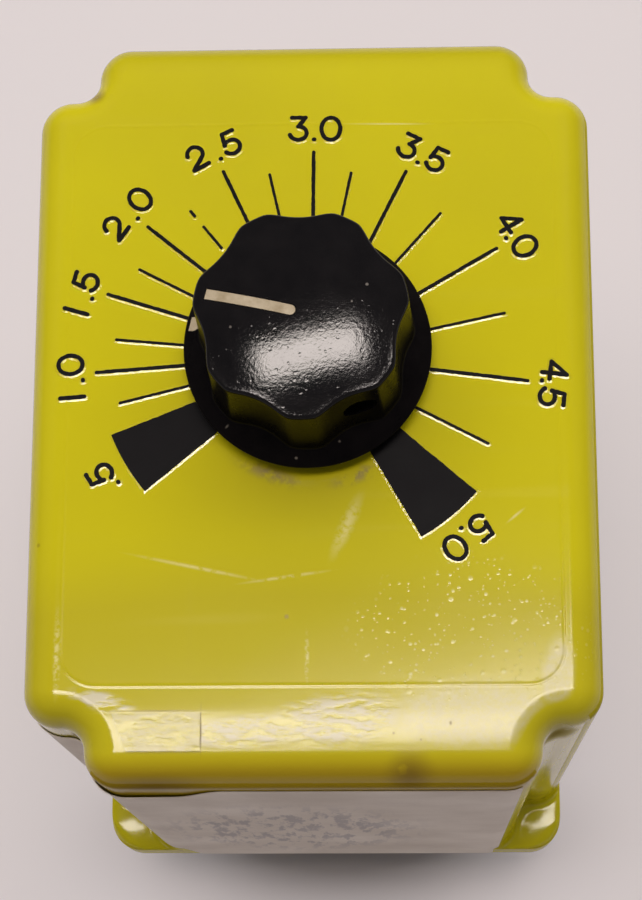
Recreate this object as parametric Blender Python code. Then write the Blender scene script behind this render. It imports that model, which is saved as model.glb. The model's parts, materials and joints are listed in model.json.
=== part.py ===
"""Plug-in delay timer: a notched case with a dial knob on top and an eight-pin plug underneath.

Metres, +Z up. The origin is the centre of the tip of the plug's key post, on which the timer stands.
The front of the case faces -Y.
"""

import math

import bmesh
import bpy
from mathutils import Matrix, Vector

for old in list(bpy.data.objects):
    bpy.data.objects.remove(old, do_unlink=True)

MM = 0.001

# Fits
REST_GAP = 0.3 * MM
RUN_GAP = 0.1 * MM
PIN_FIT = 0.15 * MM
PLATE_GAP = 0.3 * MM
LABEL_GAP = 0.1 * MM

# Case
CASE_WIDTH = 44.5 * MM
CASE_DEPTH = 60.5 * MM
CASE_HEIGHT = 62.8 * MM
CASE_WALL = 1.6 * MM
TOP_WALL = 2.0 * MM
NOTCH_WIDE = 4.7 * MM
NOTCH_DEEP = 4.6 * MM
NOTCH_STRAIGHT = 0.1 * MM
CORNER_ROUND = 2.7 * MM
LEAST_ROUND = 0.3 * MM
TOP_EDGE_ROUND = 2.6 * MM
SKIRT_ROUND = 4.2 * MM
SKIRT_BAND = 2.4 * MM
SKIRT_BLEND = 3.4 * MM
PANEL_STRIP_X = 0.45 * MM
PANEL_STRIP_Y = 0.3 * MM
PANEL_ROUND = 2.7 * MM
BAND_SLOPE = 0.05
BOSS_RADIUS = 2.8 * MM
BOSS_HEIGHT = 11.0 * MM
BOSS_SINK = 0.3 * MM
LABEL_THICKNESS = 0.2 * MM
LABEL_SIDE_MARGIN = 0.6 * MM
LABEL_LOW = 6.5 * MM
LABEL_TOP_MARGIN = 4.0 * MM

# Plug and base
POST_LENGTH = 14.2 * MM
POST_RADIUS = 3.95 * MM
POST_CHAMFER = 0.5 * MM
KEY_WIDTH = 1.9 * MM
KEY_PROUD = 0.95 * MM
PLUG_RADIUS = 15.5 * MM
PLUG_FLANGE = 3.0 * MM
PLUG_EDGE = 0.5 * MM
PIN_COUNT = 8
PIN_CIRCLE_RADIUS = 8.725 * MM
PIN_RADIUS = 1.18 * MM
PIN_LENGTH = 11.1 * MM
PIN_NOSE = 1.2 * MM
PIN_TIP_RADIUS = 0.65 * MM
PIN_TIP_ROUND = 0.15 * MM
PIN_TAIL = 2.2 * MM
PLATE_THICKNESS = 3.0 * MM
RIVET_CIRCLE_RADIUS = 12.45 * MM
RIVET_RADIUS = 1.1 * MM
RIVET_HEAD_RADIUS = 1.7 * MM
RIVET_HEAD = 0.8 * MM
SCREW_RADIUS = 1.4 * MM
SCREW_LENGTH = 8.0 * MM
SCREW_HEAD_RADIUS = 2.1 * MM
SCREW_HEAD = 1.5 * MM
SCREW_SLOT = 0.6 * MM
SCREW_PLUG_GAP = 0.5 * MM

# Circuit board
BOARD_THICKNESS = 1.6 * MM
BOARD_SIDE_GAP = 2.3 * MM
BOARD_TOP_GAP = 13.8 * MM
BOARD_REAR_SPACE = 9.5 * MM
RAIL_LENGTH = 34.0 * MM
RAIL_WALL = 1.4 * MM
RAIL_HEIGHT = 3.5 * MM
RAIL_FLOOR = 0.6 * MM
MOULDING_CHAMFER = 0.5 * MM
CHIP_SIZE = (19.3 * MM, 3.4 * MM, 6.4 * MM)
CHIP_PLACE = (-5.0 * MM, 30.0 * MM)
RECTIFIER_SIZE = (8.5 * MM, 3.2 * MM, 6.4 * MM)
RECTIFIER_PLACE = (11.0 * MM, 30.0 * MM)
FILM_SIZE = (7.2 * MM, 4.5 * MM, 9.5 * MM)
FILM_PLACE = (-9.0 * MM, 16.0 * MM)
CAN_CAPACITOR_RADIUS = 3.5 * MM
CAN_CAPACITOR_LENGTH = 11.0 * MM
CRIMP_HEIGHT = 1.4 * MM
CRIMP_DEPTH = 0.3 * MM
CAN_CAPACITOR_PLACE = (9.0 * MM, 16.0 * MM)
RESISTOR_RADIUS = 2.2 * MM
RESISTOR_LENGTH = 14.0 * MM
RESISTOR_PLACE = (0.0 * MM, 40.0 * MM)
TRANSISTOR_RADIUS = 2.4 * MM
TRANSISTOR_LENGTH = 4.8 * MM
TRANSISTOR_FLAT = 1.2 * MM
TRANSISTOR_PLACE = (0.0 * MM, 16.0 * MM)

# Relay
RELAY_FRONT_SPACE = 2.8 * MM
RELAY_LIFT = 4.7 * MM
YOKE_HALF_WIDTH = 8.0 * MM
YOKE_SHEET = 2.0 * MM
YOKE_FRONT = 8.0 * MM
YOKE_HEIGHT = 26.3 * MM
EAR_REACH = 15.3 * MM
EAR_HALF_DEPTH = 2.6 * MM
EAR_SCREW_X = 13.0 * MM
POST_BASE_RADIUS = 2.3 * MM
EAR_SCREW_RADIUS = 1.0 * MM
EAR_SCREW_LENGTH = 5.0 * MM
EAR_SCREW_HEAD_RADIUS = 1.9 * MM
EAR_SCREW_HEAD = 1.2 * MM
CORE_RADIUS = 3.1 * MM
CORE_TAIL_RADIUS = 2.0 * MM
CORE_TAIL_PROUD = 0.6 * MM
POLE_RADIUS = 4.6 * MM
POLE_HEAD = 1.0 * MM
POLE_GAP = 1.4 * MM
BOBBIN_TUBE_WALL = 0.7 * MM
BOBBIN_FLANGE = 1.0 * MM
BOBBIN_RADIUS = 7.7 * MM
WINDING_RADIUS = 7.0 * MM
ARMATURE_SHEET = 1.6 * MM
ARMATURE_FRONT = 8.5 * MM
ARMATURE_REAR = 3.0 * MM
TAIL_HALF_WIDTH = 1.8 * MM
TAIL_LENGTH = 2.8 * MM
SPRING_RADIUS = 1.3 * MM
SPRING_WIRE = 0.2 * MM
SPRING_TURNS = 8
SPRING_LUG_HEIGHT = 10.0 * MM
SPRING_LUG_SHEET = 1.5 * MM
CARRIER_HALF_WIDTH = 10.5 * MM
CARRIER_DEPTH = 5.0 * MM
CARRIER_HEIGHT = 2.2 * MM
CARRIER_OVERHANG = 1.5 * MM
CONTACT_X = 7.0 * MM
BLADE_HALF_WIDTH = 1.8 * MM
BLADE_SHEET = 0.4 * MM
BLADE_ROOT = 4.0 * MM
BLADE_TIP = 1.4 * MM
BUTTON_REACH = 5.3 * MM
BUTTON_RADIUS = 1.3 * MM
BUTTON_PROUD = 0.9 * MM
CONTACT_TRAVEL = 2.0 * MM
BLOCK_HALF_WIDTH = 11.5 * MM
BLOCK_DEPTH = 3.4 * MM
BLOCK_CLEARANCE = 1.4 * MM
BLOCK_TOP = 25.5 * MM
STRIP_FOOT = 12.0 * MM

# Dial and potentiometer
DIAL_Y = 3.3 * MM
SHAFT_RADIUS = 3.0 * MM
SHAFT_TOP = 9.8 * MM
SHAFT_FLAT = 0.7 * MM
SHAFT_FLAT_LENGTH = 4.6 * MM
BUSHING_RADIUS = 3.5 * MM
BUSHING_TOP = 4.4 * MM
NUT_FLATS = 10.0 * MM
NUT_HEIGHT = 2.0 * MM
WASHER_RADIUS = 6.5 * MM
WASHER_SHEET = 0.4 * MM
POT_RADIUS = 8.2 * MM
POT_PLATE = 1.2 * MM
POT_CAN_DEPTH = 6.5 * MM
POT_CAN_SHEET = 0.6 * MM
WAFER_RADIUS = 7.2 * MM
WAFER_BORE = 3.6 * MM
WAFER_SHEET = 1.2 * MM
WIPER_RADIUS = 6.2 * MM
WIPER_SHEET = 1.1 * MM
WIPER_DROP = 2.2 * MM
WIPER_FINGER = 1.6 * MM
LUG_SPACING = 4.5 * MM
LUG_HALF_WIDTH = 0.8 * MM
LUG_SHEET = 0.4 * MM
LUG_INNER = 5.6 * MM
LUG_REACH = 4.2 * MM
LEAD_RADIUS = 0.55 * MM
LEAD_DROP = 3.0 * MM
LEAD_STRAIGHT = 1.65 * MM
LEAD_BOW = 0.4 * MM

# Knob
KNOB_GAP = 0.7 * MM
KNOB_LOBES = 7
LOBE_ANGLE = math.radians(162.0)
LOBE_RADIUS = 7.9 * MM
LOBE_TAPER = 0.2 * MM
FLUTE_DEPTH = 0.85 * MM
KNOB_SKIRT_RADIUS = 9.65 * MM
KNOB_SKIRT_RIM = 1.1 * MM
KNOB_SKIRT_TOP = 2.9 * MM
KNOB_SKIRT_MARGIN = 0.6 * MM
KNOB_EDGE = 0.3 * MM
KNOB_BODY_TOP = 10.4 * MM
DOME_RISE = 1.0 * MM
RECESS_RADIUS = 6.5 * MM
RECESS_TOP = 5.0 * MM
KNOB_TOP_WALL = 1.1 * MM
POINTER_ANGLE = math.radians(168.6)
POINTER_WIDTH = 0.8 * MM
POINTER_INNER = 0.6 * MM
POINTER_EDGE_MARGIN = 0.4 * MM
INLAY_DEPTH = 0.4 * MM
INLAY_SINK = 0.05 * MM
SKIRT_MARK_LENGTH = 0.6 * MM
SET_SCREW_ANGLE = math.radians(302.0)
SET_SCREW_HEIGHT = 7.2 * MM
SET_SCREW_RADIUS = 1.25 * MM
SET_SCREW_LENGTH = 3.4 * MM

# Facets
ROUND_SIDES = 32
MEDIUM_SIDES = 24
SMALL_SIDES = 14
ARC_STEPS = 4
SKIRT_STEPS = 6
EDGE_STEPS = 5
TRANSISTOR_STEPS = 10
SPRING_POINTS = 8
LEAD_STEPS = 3
INLAY_STEPS = 5
DOME_SHARES = (1.0, 0.7, 0.4, 0.1)
KNOB_POINTS = KNOB_LOBES * 10
SHARP_ANGLE = math.radians(35.0)
WELD = 0.001 * MM
CUT_OVER = 1.0 * MM

# Levels and places worked out from the sizes above
CASE_BOTTOM = POST_LENGTH + PLUG_FLANGE
CASE_TOP = CASE_BOTTOM + CASE_HEIGHT
PLATE_BOTTOM = CASE_BOTTOM + REST_GAP
PLATE_TOP = PLATE_BOTTOM + PLATE_THICKNESS
CAVITY_HALF_X = CASE_WIDTH / 2 - CASE_WALL
CAVITY_HALF_Y = CASE_DEPTH / 2 - CASE_WALL
SCREW_X = CAVITY_HALF_X - BOSS_RADIUS + BOSS_SINK
SCREW_REACH = PLUG_RADIUS + SCREW_HEAD_RADIUS + SCREW_PLUG_GAP
SCREW_Y = math.sqrt(max(SCREW_REACH ** 2 - SCREW_X ** 2, 0.0))
POST_TOP = PLATE_TOP + RELAY_LIFT
YOKE_BOTTOM = POST_TOP + REST_GAP
BUTTON_Y = -ARMATURE_FRONT - BUTTON_REACH
BLADE_FRONT = BUTTON_Y - BLADE_TIP
BLOCK_REAR = BLADE_FRONT - BLOCK_CLEARANCE
BLOCK_FRONT = BLOCK_REAR - BLOCK_DEPTH
STRIP_FRONT = BLOCK_FRONT - REST_GAP - BLADE_SHEET
RELAY_Y = -CAVITY_HALF_Y + RELAY_FRONT_SPACE - STRIP_FRONT
BOARD_REAR_Y = CAVITY_HALF_Y - BOARD_REAR_SPACE
BOARD_FRONT_Y = BOARD_REAR_Y - BOARD_THICKNESS


def principled(name, colour, roughness, metallic=0.0):
    """One plain finish."""
    made = bpy.data.materials.new(name)
    made.use_nodes = True
    shader = made.node_tree.nodes["Principled BSDF"]
    shader.inputs["Base Color"].default_value = (*colour, 1.0)
    shader.inputs["Roughness"].default_value = roughness
    shader.inputs["Metallic"].default_value = metallic
    made.diffuse_color = (*colour, 1.0)
    return made


CASE_YELLOW = principled("case_yellow", (0.58, 0.47, 0.02), 0.25)
LABEL_PAPER = principled("label_paper", (0.62, 0.57, 0.48), 0.5)
KNOB_BLACK = principled("knob_black", (0.012, 0.011, 0.012), 0.25)
MARK_WHITE = principled("mark_white", (0.72, 0.66, 0.55), 0.5)
PHENOLIC = principled("phenolic", (0.03, 0.024, 0.02), 0.45)
BROWN_BOARD = principled("brown_board", (0.22, 0.12, 0.05), 0.55)
NICKEL = principled("nickel", (0.6, 0.58, 0.53), 0.3, 1.0)
ZINC_STEEL = principled("zinc_steel", (0.55, 0.55, 0.54), 0.35, 1.0)
BRASS = principled("brass", (0.62, 0.45, 0.18), 0.3, 1.0)
COPPER_WIRE = principled("copper_wire", (0.55, 0.2, 0.08), 0.35, 1.0)
SILVER_CONTACT = principled("silver_contact", (0.7, 0.68, 0.63), 0.3, 1.0)
BOARD_GREEN = principled("board_green", (0.06, 0.2, 0.08), 0.45)
CHIP_BLACK = principled("chip_black", (0.02, 0.02, 0.02), 0.5)
FILM_RED = principled("film_red", (0.4, 0.07, 0.03), 0.4)
CAN_BLUE = principled("can_blue", (0.05, 0.1, 0.3), 0.35)
RESISTOR_TAN = principled("resistor_tan", (0.5, 0.38, 0.24), 0.5)
NYLON_WHITE = principled("nylon_white", (0.7, 0.68, 0.6), 0.5)
LEAD_RED = principled("lead_red", (0.45, 0.03, 0.03), 0.45)


def empty(name, place, parent=None):
    """A frame that pieces hang on; not a piece itself."""
    made = bpy.data.objects.new(name, None)
    bpy.context.scene.collection.objects.link(made)
    made.location = place
    made.parent = parent
    return made


def add_object(name, shape, parent, finish, place=(0.0, 0.0, 0.0), smooth=False):
    """Turns a bmesh into a closed, outward-facing object under its parent."""
    bmesh.ops.remove_doubles(shape, verts=shape.verts, dist=WELD)
    bmesh.ops.recalc_face_normals(shape, faces=shape.faces)
    mesh = bpy.data.meshes.new(name)
    shape.to_mesh(mesh)
    shape.free()
    if smooth:
        mesh.shade_smooth()
        mesh.set_sharp_from_angle(angle=SHARP_ANGLE)
    if finish:
        mesh.materials.append(finish)
    made = bpy.data.objects.new(name, mesh)
    bpy.context.scene.collection.objects.link(made)
    made.location = place
    made.parent = parent
    return made


def combine(target, shape, operation):
    """Joins a shape to an object, or cuts it away, with a hidden tool object."""
    tool = add_object(target.name + "_" + operation.lower(), shape, target.parent, None, target.location)
    tool.hide_render = True
    tool.display_type = "WIRE"
    step = target.modifiers.new(tool.name, "BOOLEAN")
    step.operation = operation
    step.object = tool


def add_box(shape, low, high):
    """A box between two corners."""
    low = Vector(low)
    high = Vector(high)
    size = high - low
    place = Matrix.Translation((low + high) / 2) @ Matrix.Diagonal((*size, 1.0))
    bmesh.ops.create_cube(shape, size=1.0, matrix=place)
    return shape


def add_rod(shape, radius, low, high, centre=(0.0, 0.0), sides=SMALL_SIDES, turn=None):
    """A round bar along Z from low to high, which turn may lay over."""
    place = Matrix.Translation((centre[0], centre[1], (low + high) / 2))
    if turn:
        place = turn @ place
    bmesh.ops.create_cone(
        shape, cap_ends=True, segments=sides, radius1=radius, radius2=radius, depth=high - low, matrix=place
    )
    return shape


def turned(profile, sides=ROUND_SIDES, ring=False):
    """A lathe shape from (radius, height) points; a ring's profile closes on itself."""
    shape = bmesh.new()
    points = [shape.verts.new((radius, 0.0, height)) for radius, height in profile]
    edges = [shape.edges.new(pair) for pair in zip(points, points[1:])]
    if ring:
        edges.append(shape.edges.new((points[-1], points[0])))
    geometry = points + edges
    up = (0, 0, 1)
    bmesh.ops.spin(shape, geom=geometry, cent=(0, 0, 0), axis=up, angle=math.tau, steps=sides, use_merge=True)
    return shape


def flat_ring(inner, outer, low, high):
    """A turned ring with a plain square section."""
    return turned([(inner, low), (outer, low), (outer, high), (inner, high)], MEDIUM_SIDES, ring=True)


def loft(loops, shape=None):
    """A skin over outlines with equal numbers of points, closed by a flat face at each end."""
    shape = shape or bmesh.new()
    rings = [[shape.verts.new(point) for point in loop] for loop in loops]
    for lower, upper in zip(rings, rings[1:]):
        for index, point in enumerate(lower):
            following = (index + 1) % len(lower)
            shape.faces.new((point, lower[following], upper[following], upper[index]))
    shape.faces.new(rings[0])
    shape.faces.new(rings[-1])
    return shape


def side_extrusion(profile, middle_x, half_width, shape=None):
    """A (y, z) outline carried across X."""
    sides = (middle_x - half_width, middle_x + half_width)
    return loft([[(x, y, z) for y, z in profile] for x in sides], shape)


def arc(centre_x, centre_y, radius, start, end):
    """Points of a round corner, with its angles in degrees."""
    angles = [math.radians(start + (end - start) * step / ARC_STEPS) for step in range(ARC_STEPS + 1)]
    return [(centre_x + radius * math.cos(a), centre_y + radius * math.sin(a)) for a in angles]


def notched_corner(inset):
    """The case's rear right corner, drawn in by inset: out, in and out again round the notch."""
    half_x = CASE_WIDTH / 2 - inset
    half_y = CASE_DEPTH / 2 - inset
    outer = max(CORNER_ROUND - inset, LEAST_ROUND)
    inner = min(NOTCH_WIDE, NOTCH_DEEP) - outer - NOTCH_STRAIGHT
    wall_x = half_x - NOTCH_WIDE
    wall_y = half_y - NOTCH_DEEP
    points = arc(half_x - outer, wall_y - outer, outer, 0, 90)
    points += arc(wall_x + inner, wall_y + inner, inner, 270, 180)
    points += arc(wall_x - outer, half_y - outer, outer, 0, 90)
    return points


def plain_corner(half_x, half_y, radius):
    """A plain round corner with as many points as a notched one."""
    count = len(notched_corner(0.0))
    angles = [math.radians(90 * step / (count - 1)) for step in range(count)]
    return [(half_x - radius + radius * math.cos(a), half_y - radius + radius * math.sin(a)) for a in angles]


def four_corners(corner):
    """Goes once round from the rear right corner."""
    points = list(corner)
    points += [(-x, y) for x, y in reversed(corner)]
    points += [(-x, -y) for x, y in corner]
    points += [(x, -y) for x, y in reversed(corner)]
    return points


def case_outline(inset, blend=1.0):
    """Outline of the case: blend 1 is the notched wall, and 0 is the full skirt at the foot."""
    skirt = plain_corner(CASE_WIDTH / 2 - inset, CASE_DEPTH / 2 - inset, SKIRT_ROUND)
    pairs = zip(skirt, notched_corner(inset))
    return four_corners([(a + (c - a) * blend, b + (d - b) * blend) for (a, b), (c, d) in pairs])


def case_parts():
    """The cover, its label and the screws that hold it."""
    frame = empty("case_frame", (0, 0, CASE_BOTTOM))
    panel_x = CASE_WIDTH / 2 - TOP_EDGE_ROUND - PANEL_STRIP_X
    panel_y = CASE_DEPTH / 2 - NOTCH_DEEP - TOP_EDGE_ROUND - PANEL_STRIP_Y

    def top_height(y, below):
        """The band outside the flat panel falls away a little to the front and the rear."""
        return CASE_HEIGHT - below - max(abs(y) - panel_y, 0.0) * BAND_SLOPE

    cavity = case_outline(CASE_WALL)
    loops = [[(x, y, CASE_HEIGHT - TOP_WALL) for x, y in cavity], [(x, y, 0.0) for x, y in cavity]]
    loops.append([(x, y, 0.0) for x, y in case_outline(0.0, 0.0)])
    for step in range(SKIRT_STEPS + 1):
        share = step / SKIRT_STEPS
        smooth_share = share * share * (3 - 2 * share)
        height = SKIRT_BAND + SKIRT_BLEND * share
        loops.append([(x, y, height) for x, y in case_outline(0.0, smooth_share)])
    for step in range(EDGE_STEPS + 1):
        angle = math.pi / 2 * step / EDGE_STEPS
        inset = TOP_EDGE_ROUND * (1 - math.cos(angle))
        below = TOP_EDGE_ROUND * (1 - math.sin(angle))
        loops.append([(x, y, top_height(y, below)) for x, y in case_outline(inset)])
    panel = four_corners(plain_corner(panel_x, panel_y, PANEL_ROUND))
    loops.append([(x, y, CASE_HEIGHT) for x, y in panel])
    cover = add_object("case_cover", loft(loops), frame, CASE_YELLOW, smooth=True)

    boss_low = PLATE_TOP - CASE_BOTTOM + REST_GAP
    bosses = bmesh.new()
    holes = bmesh.new()
    for side in (-1, 1):
        centre = (side * SCREW_X, SCREW_Y)
        add_rod(bosses, BOSS_RADIUS, boss_low, boss_low + BOSS_HEIGHT, centre)
        add_rod(holes, SCREW_RADIUS + PIN_FIT, boss_low - CUT_OVER, boss_low + SCREW_LENGTH, centre)
    bushing_hole = BUSHING_RADIUS + REST_GAP
    hole_low = CASE_HEIGHT - TOP_WALL - CUT_OVER
    add_rod(holes, bushing_hole, hole_low, CASE_HEIGHT + CUT_OVER, (0, DIAL_Y), ROUND_SIDES)
    combine(cover, bosses, "UNION")
    combine(cover, holes, "DIFFERENCE")

    half = CASE_WIDTH / 2 - NOTCH_WIDE - CORNER_ROUND - LABEL_SIDE_MARGIN
    rear = -CASE_DEPTH / 2 - LABEL_GAP
    low = (-half, rear - LABEL_THICKNESS, LABEL_LOW)
    high = (half, rear, CASE_HEIGHT - LABEL_TOP_MARGIN)
    add_object("label_front", add_box(bmesh.new(), low, high), frame, LABEL_PAPER)

    head_top = PLATE_BOTTOM - CASE_BOTTOM - RUN_GAP
    profile = [(0, head_top - SCREW_HEAD), (SCREW_HEAD_RADIUS, head_top - SCREW_HEAD)]
    profile += [(SCREW_HEAD_RADIUS, head_top), (SCREW_RADIUS, head_top)]
    profile += [(SCREW_RADIUS, boss_low + SCREW_LENGTH - REST_GAP), (0, boss_low + SCREW_LENGTH - REST_GAP)]
    for name, side in (("cover_screw_left", -1), ("cover_screw_right", 1)):
        place = (side * SCREW_X, SCREW_Y, 0)
        screw = add_object(name, turned(profile, SMALL_SIDES), frame, ZINC_STEEL, place, smooth=True)
        slot_low = (-SCREW_HEAD_RADIUS - CUT_OVER, -SCREW_SLOT / 2, head_top - SCREW_HEAD - CUT_OVER)
        slot_high = (SCREW_HEAD_RADIUS + CUT_OVER, SCREW_SLOT / 2, head_top - SCREW_HEAD / 2)
        combine(screw, add_box(bmesh.new(), slot_low, slot_high), "DIFFERENCE")


def ring_places(count, radius, first):
    """Centres spaced evenly round the plug's axis."""
    angles = [first + math.tau * index / count for index in range(count)]
    return [(radius * math.cos(a), radius * math.sin(a)) for a in angles]


PIN_PLACES = ring_places(PIN_COUNT, PIN_CIRCLE_RADIUS, -math.pi / 2 - math.pi / PIN_COUNT)
RIVET_PLACES = ring_places(2, RIVET_CIRCLE_RADIUS, math.radians(225))


def plug_parts():
    """The eight-pin plug with its keyed post, its pins and its rivets."""
    face = POST_LENGTH
    profile = [(0, 0), (POST_RADIUS - POST_CHAMFER, 0), (POST_RADIUS, POST_CHAMFER), (POST_RADIUS, face)]
    profile += [(PLUG_RADIUS - PLUG_EDGE, face), (PLUG_RADIUS, face + PLUG_EDGE)]
    profile += [(PLUG_RADIUS, CASE_BOTTOM), (0, CASE_BOTTOM)]
    plug = add_object("octal_plug", turned(profile), None, PHENOLIC, smooth=True)
    key_low = (-KEY_WIDTH / 2, -POST_RADIUS - KEY_PROUD, POST_CHAMFER)
    key_high = (KEY_WIDTH / 2, -POST_RADIUS / 2, face + PLUG_EDGE)
    combine(plug, add_box(bmesh.new(), key_low, key_high), "UNION")
    holes = bmesh.new()
    for centre in PIN_PLACES:
        add_rod(holes, PIN_RADIUS + PIN_FIT, face - CUT_OVER, CASE_BOTTOM + CUT_OVER, centre)
    for centre in RIVET_PLACES:
        add_rod(holes, RIVET_RADIUS + PIN_FIT, face - CUT_OVER, CASE_BOTTOM + CUT_OVER, centre)
    combine(plug, holes, "DIFFERENCE")
    sinks = bmesh.new()
    for centre in RIVET_PLACES:
        add_rod(sinks, RIVET_HEAD_RADIUS + PIN_FIT, face - CUT_OVER, face + RIVET_HEAD + REST_GAP, centre)
    combine(plug, sinks, "DIFFERENCE")

    tip = face - PIN_LENGTH
    profile = [(0, tip), (PIN_TIP_RADIUS, tip + PIN_TIP_ROUND), (PIN_RADIUS, tip + PIN_NOSE)]
    profile += [(PIN_RADIUS, PLATE_TOP + PIN_TAIL), (0, PLATE_TOP + PIN_TAIL)]
    for index, (x, y) in enumerate(PIN_PLACES):
        name = "plug_pin_" + str(index + 1)
        add_object(name, turned(profile, SMALL_SIDES), None, NICKEL, (x, y, 0), smooth=True)

    low = face + REST_GAP / 2
    upset = PLATE_TOP + RUN_GAP
    profile = [(0, low), (RIVET_HEAD_RADIUS, low), (RIVET_HEAD_RADIUS, low + RIVET_HEAD)]
    profile += [(RIVET_RADIUS, low + RIVET_HEAD), (RIVET_RADIUS, upset), (RIVET_HEAD_RADIUS, upset)]
    profile += [(RIVET_HEAD_RADIUS, upset + RIVET_HEAD), (0, upset + RIVET_HEAD)]
    for name, (x, y) in zip(("plug_rivet_left", "plug_rivet_right"), RIVET_PLACES):
        add_object(name, turned(profile, SMALL_SIDES), None, BRASS, (x, y, 0), smooth=True)


def base_plate():
    """The plate that closes the cover, with the relay's posts and the board's rail moulded on."""
    outline = case_outline(CASE_WALL + PLATE_GAP)
    levels = (PLATE_BOTTOM, PLATE_TOP)
    plate = add_object("base_plate", loft([[(x, y, z) for x, y in outline] for z in levels]), None, PHENOLIC)
    joined = bmesh.new()
    holes = bmesh.new()
    root = PLATE_TOP - PLATE_THICKNESS / 2
    for side in (-1, 1):
        post = (side * EAR_SCREW_X, RELAY_Y)
        add_rod(joined, POST_BASE_RADIUS, root, POST_TOP, post)
        add_rod(holes, EAR_SCREW_RADIUS + PIN_FIT, YOKE_BOTTOM - EAR_SCREW_LENGTH, POST_TOP + CUT_OVER, post)
        screw = (side * SCREW_X, SCREW_Y)
        add_rod(holes, SCREW_RADIUS + PIN_FIT, PLATE_BOTTOM - CUT_OVER, PLATE_TOP + CUT_OVER, screw)
    front = BOARD_FRONT_Y - PIN_FIT
    rear = BOARD_REAR_Y + PIN_FIT
    rail_top = PLATE_TOP + RAIL_HEIGHT
    half = RAIL_LENGTH / 2
    add_box(joined, (-half, front - RAIL_WALL, root), (half, rear + RAIL_WALL, rail_top))
    groove_floor = PLATE_TOP + RAIL_FLOOR - REST_GAP
    add_box(holes, (-half - CUT_OVER, front, groove_floor), (half + CUT_OVER, rear, rail_top + CUT_OVER))
    for centre in PIN_PLACES:
        add_rod(holes, PIN_RADIUS + PIN_FIT, PLATE_BOTTOM - CUT_OVER, PLATE_TOP + CUT_OVER, centre)
    for centre in RIVET_PLACES:
        add_rod(holes, RIVET_RADIUS + PIN_FIT, PLATE_BOTTOM - CUT_OVER, PLATE_TOP + CUT_OVER, centre)
    combine(plate, joined, "UNION")
    combine(plate, holes, "DIFFERENCE")


def circuit_board():
    """The board that stands in the base plate's rail, with its components on the rear face."""
    frame = empty("board_frame", (0, BOARD_REAR_Y, CASE_BOTTOM))
    half = CAVITY_HALF_X - BOARD_SIDE_GAP
    low = (-half, -BOARD_THICKNESS, PLATE_TOP + RAIL_FLOOR - CASE_BOTTOM)
    high = (half, 0, CASE_HEIGHT - BOARD_TOP_GAP)
    add_object("main_board", add_box(bmesh.new(), low, high), frame, BOARD_GREEN)

    blocks = (
        ("timing_chip", CHIP_SIZE, CHIP_PLACE, CHIP_BLACK),
        ("rectifier", RECTIFIER_SIZE, RECTIFIER_PLACE, CHIP_BLACK),
        ("timing_capacitor", FILM_SIZE, FILM_PLACE, FILM_RED),
    )
    for name, (wide, deep, high), (x, z), finish in blocks:
        shape = add_box(bmesh.new(), (-wide / 2, 0, -high / 2), (wide / 2, deep, high / 2))
        rim = [edge for edge in shape.edges if min(point.co.y for point in edge.verts) > deep / 2]
        bmesh.ops.bevel(shape, geom=rim, offset=MOULDING_CHAMFER, segments=1, affect="EDGES")
        add_object(name, shape, frame, finish, (x, REST_GAP, z))

    radius = CAN_CAPACITOR_RADIUS
    length = CAN_CAPACITOR_LENGTH
    waist = CRIMP_HEIGHT + CRIMP_DEPTH
    profile = [(0, 0), (radius, 0), (radius, CRIMP_HEIGHT), (radius - CRIMP_DEPTH, waist)]
    profile += [(radius, waist + CRIMP_DEPTH), (radius, length), (0, length)]
    x, z = CAN_CAPACITOR_PLACE
    place = (x, REST_GAP + radius, z - length / 2)
    add_object("filter_capacitor", turned(profile, MEDIUM_SIDES), frame, CAN_BLUE, place, smooth=True)

    radius = RESISTOR_RADIUS
    x, z = RESISTOR_PLACE
    lay_over = Matrix.Rotation(math.pi / 2, 4, "Y")
    shape = add_rod(bmesh.new(), radius, -RESISTOR_LENGTH / 2, RESISTOR_LENGTH / 2, turn=lay_over)
    add_object("dropper_resistor", shape, frame, RESISTOR_TAN, (x, REST_GAP + radius, z), smooth=True)

    radius = TRANSISTOR_RADIUS
    flat = math.acos(TRANSISTOR_FLAT / radius)
    sweep = (math.tau - 2 * flat) / TRANSISTOR_STEPS
    angles = [math.pi / 2 + flat + sweep * step for step in range(TRANSISTOR_STEPS + 1)]
    outline = [(radius * math.cos(a), radius * math.sin(a)) for a in angles]
    levels = (-TRANSISTOR_LENGTH / 2, TRANSISTOR_LENGTH / 2)
    shape = loft([[(x, y, z) for x, y in outline] for z in levels])
    x, z = TRANSISTOR_PLACE
    add_object("driver_transistor", shape, frame, CHIP_BLACK, (x, REST_GAP + radius, z), smooth=True)


def button_rod(shape, side, low, high):
    """A round contact button on a strip."""
    return add_rod(shape, BUTTON_RADIUS, low, high, (side * CONTACT_X, BUTTON_Y))


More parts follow.
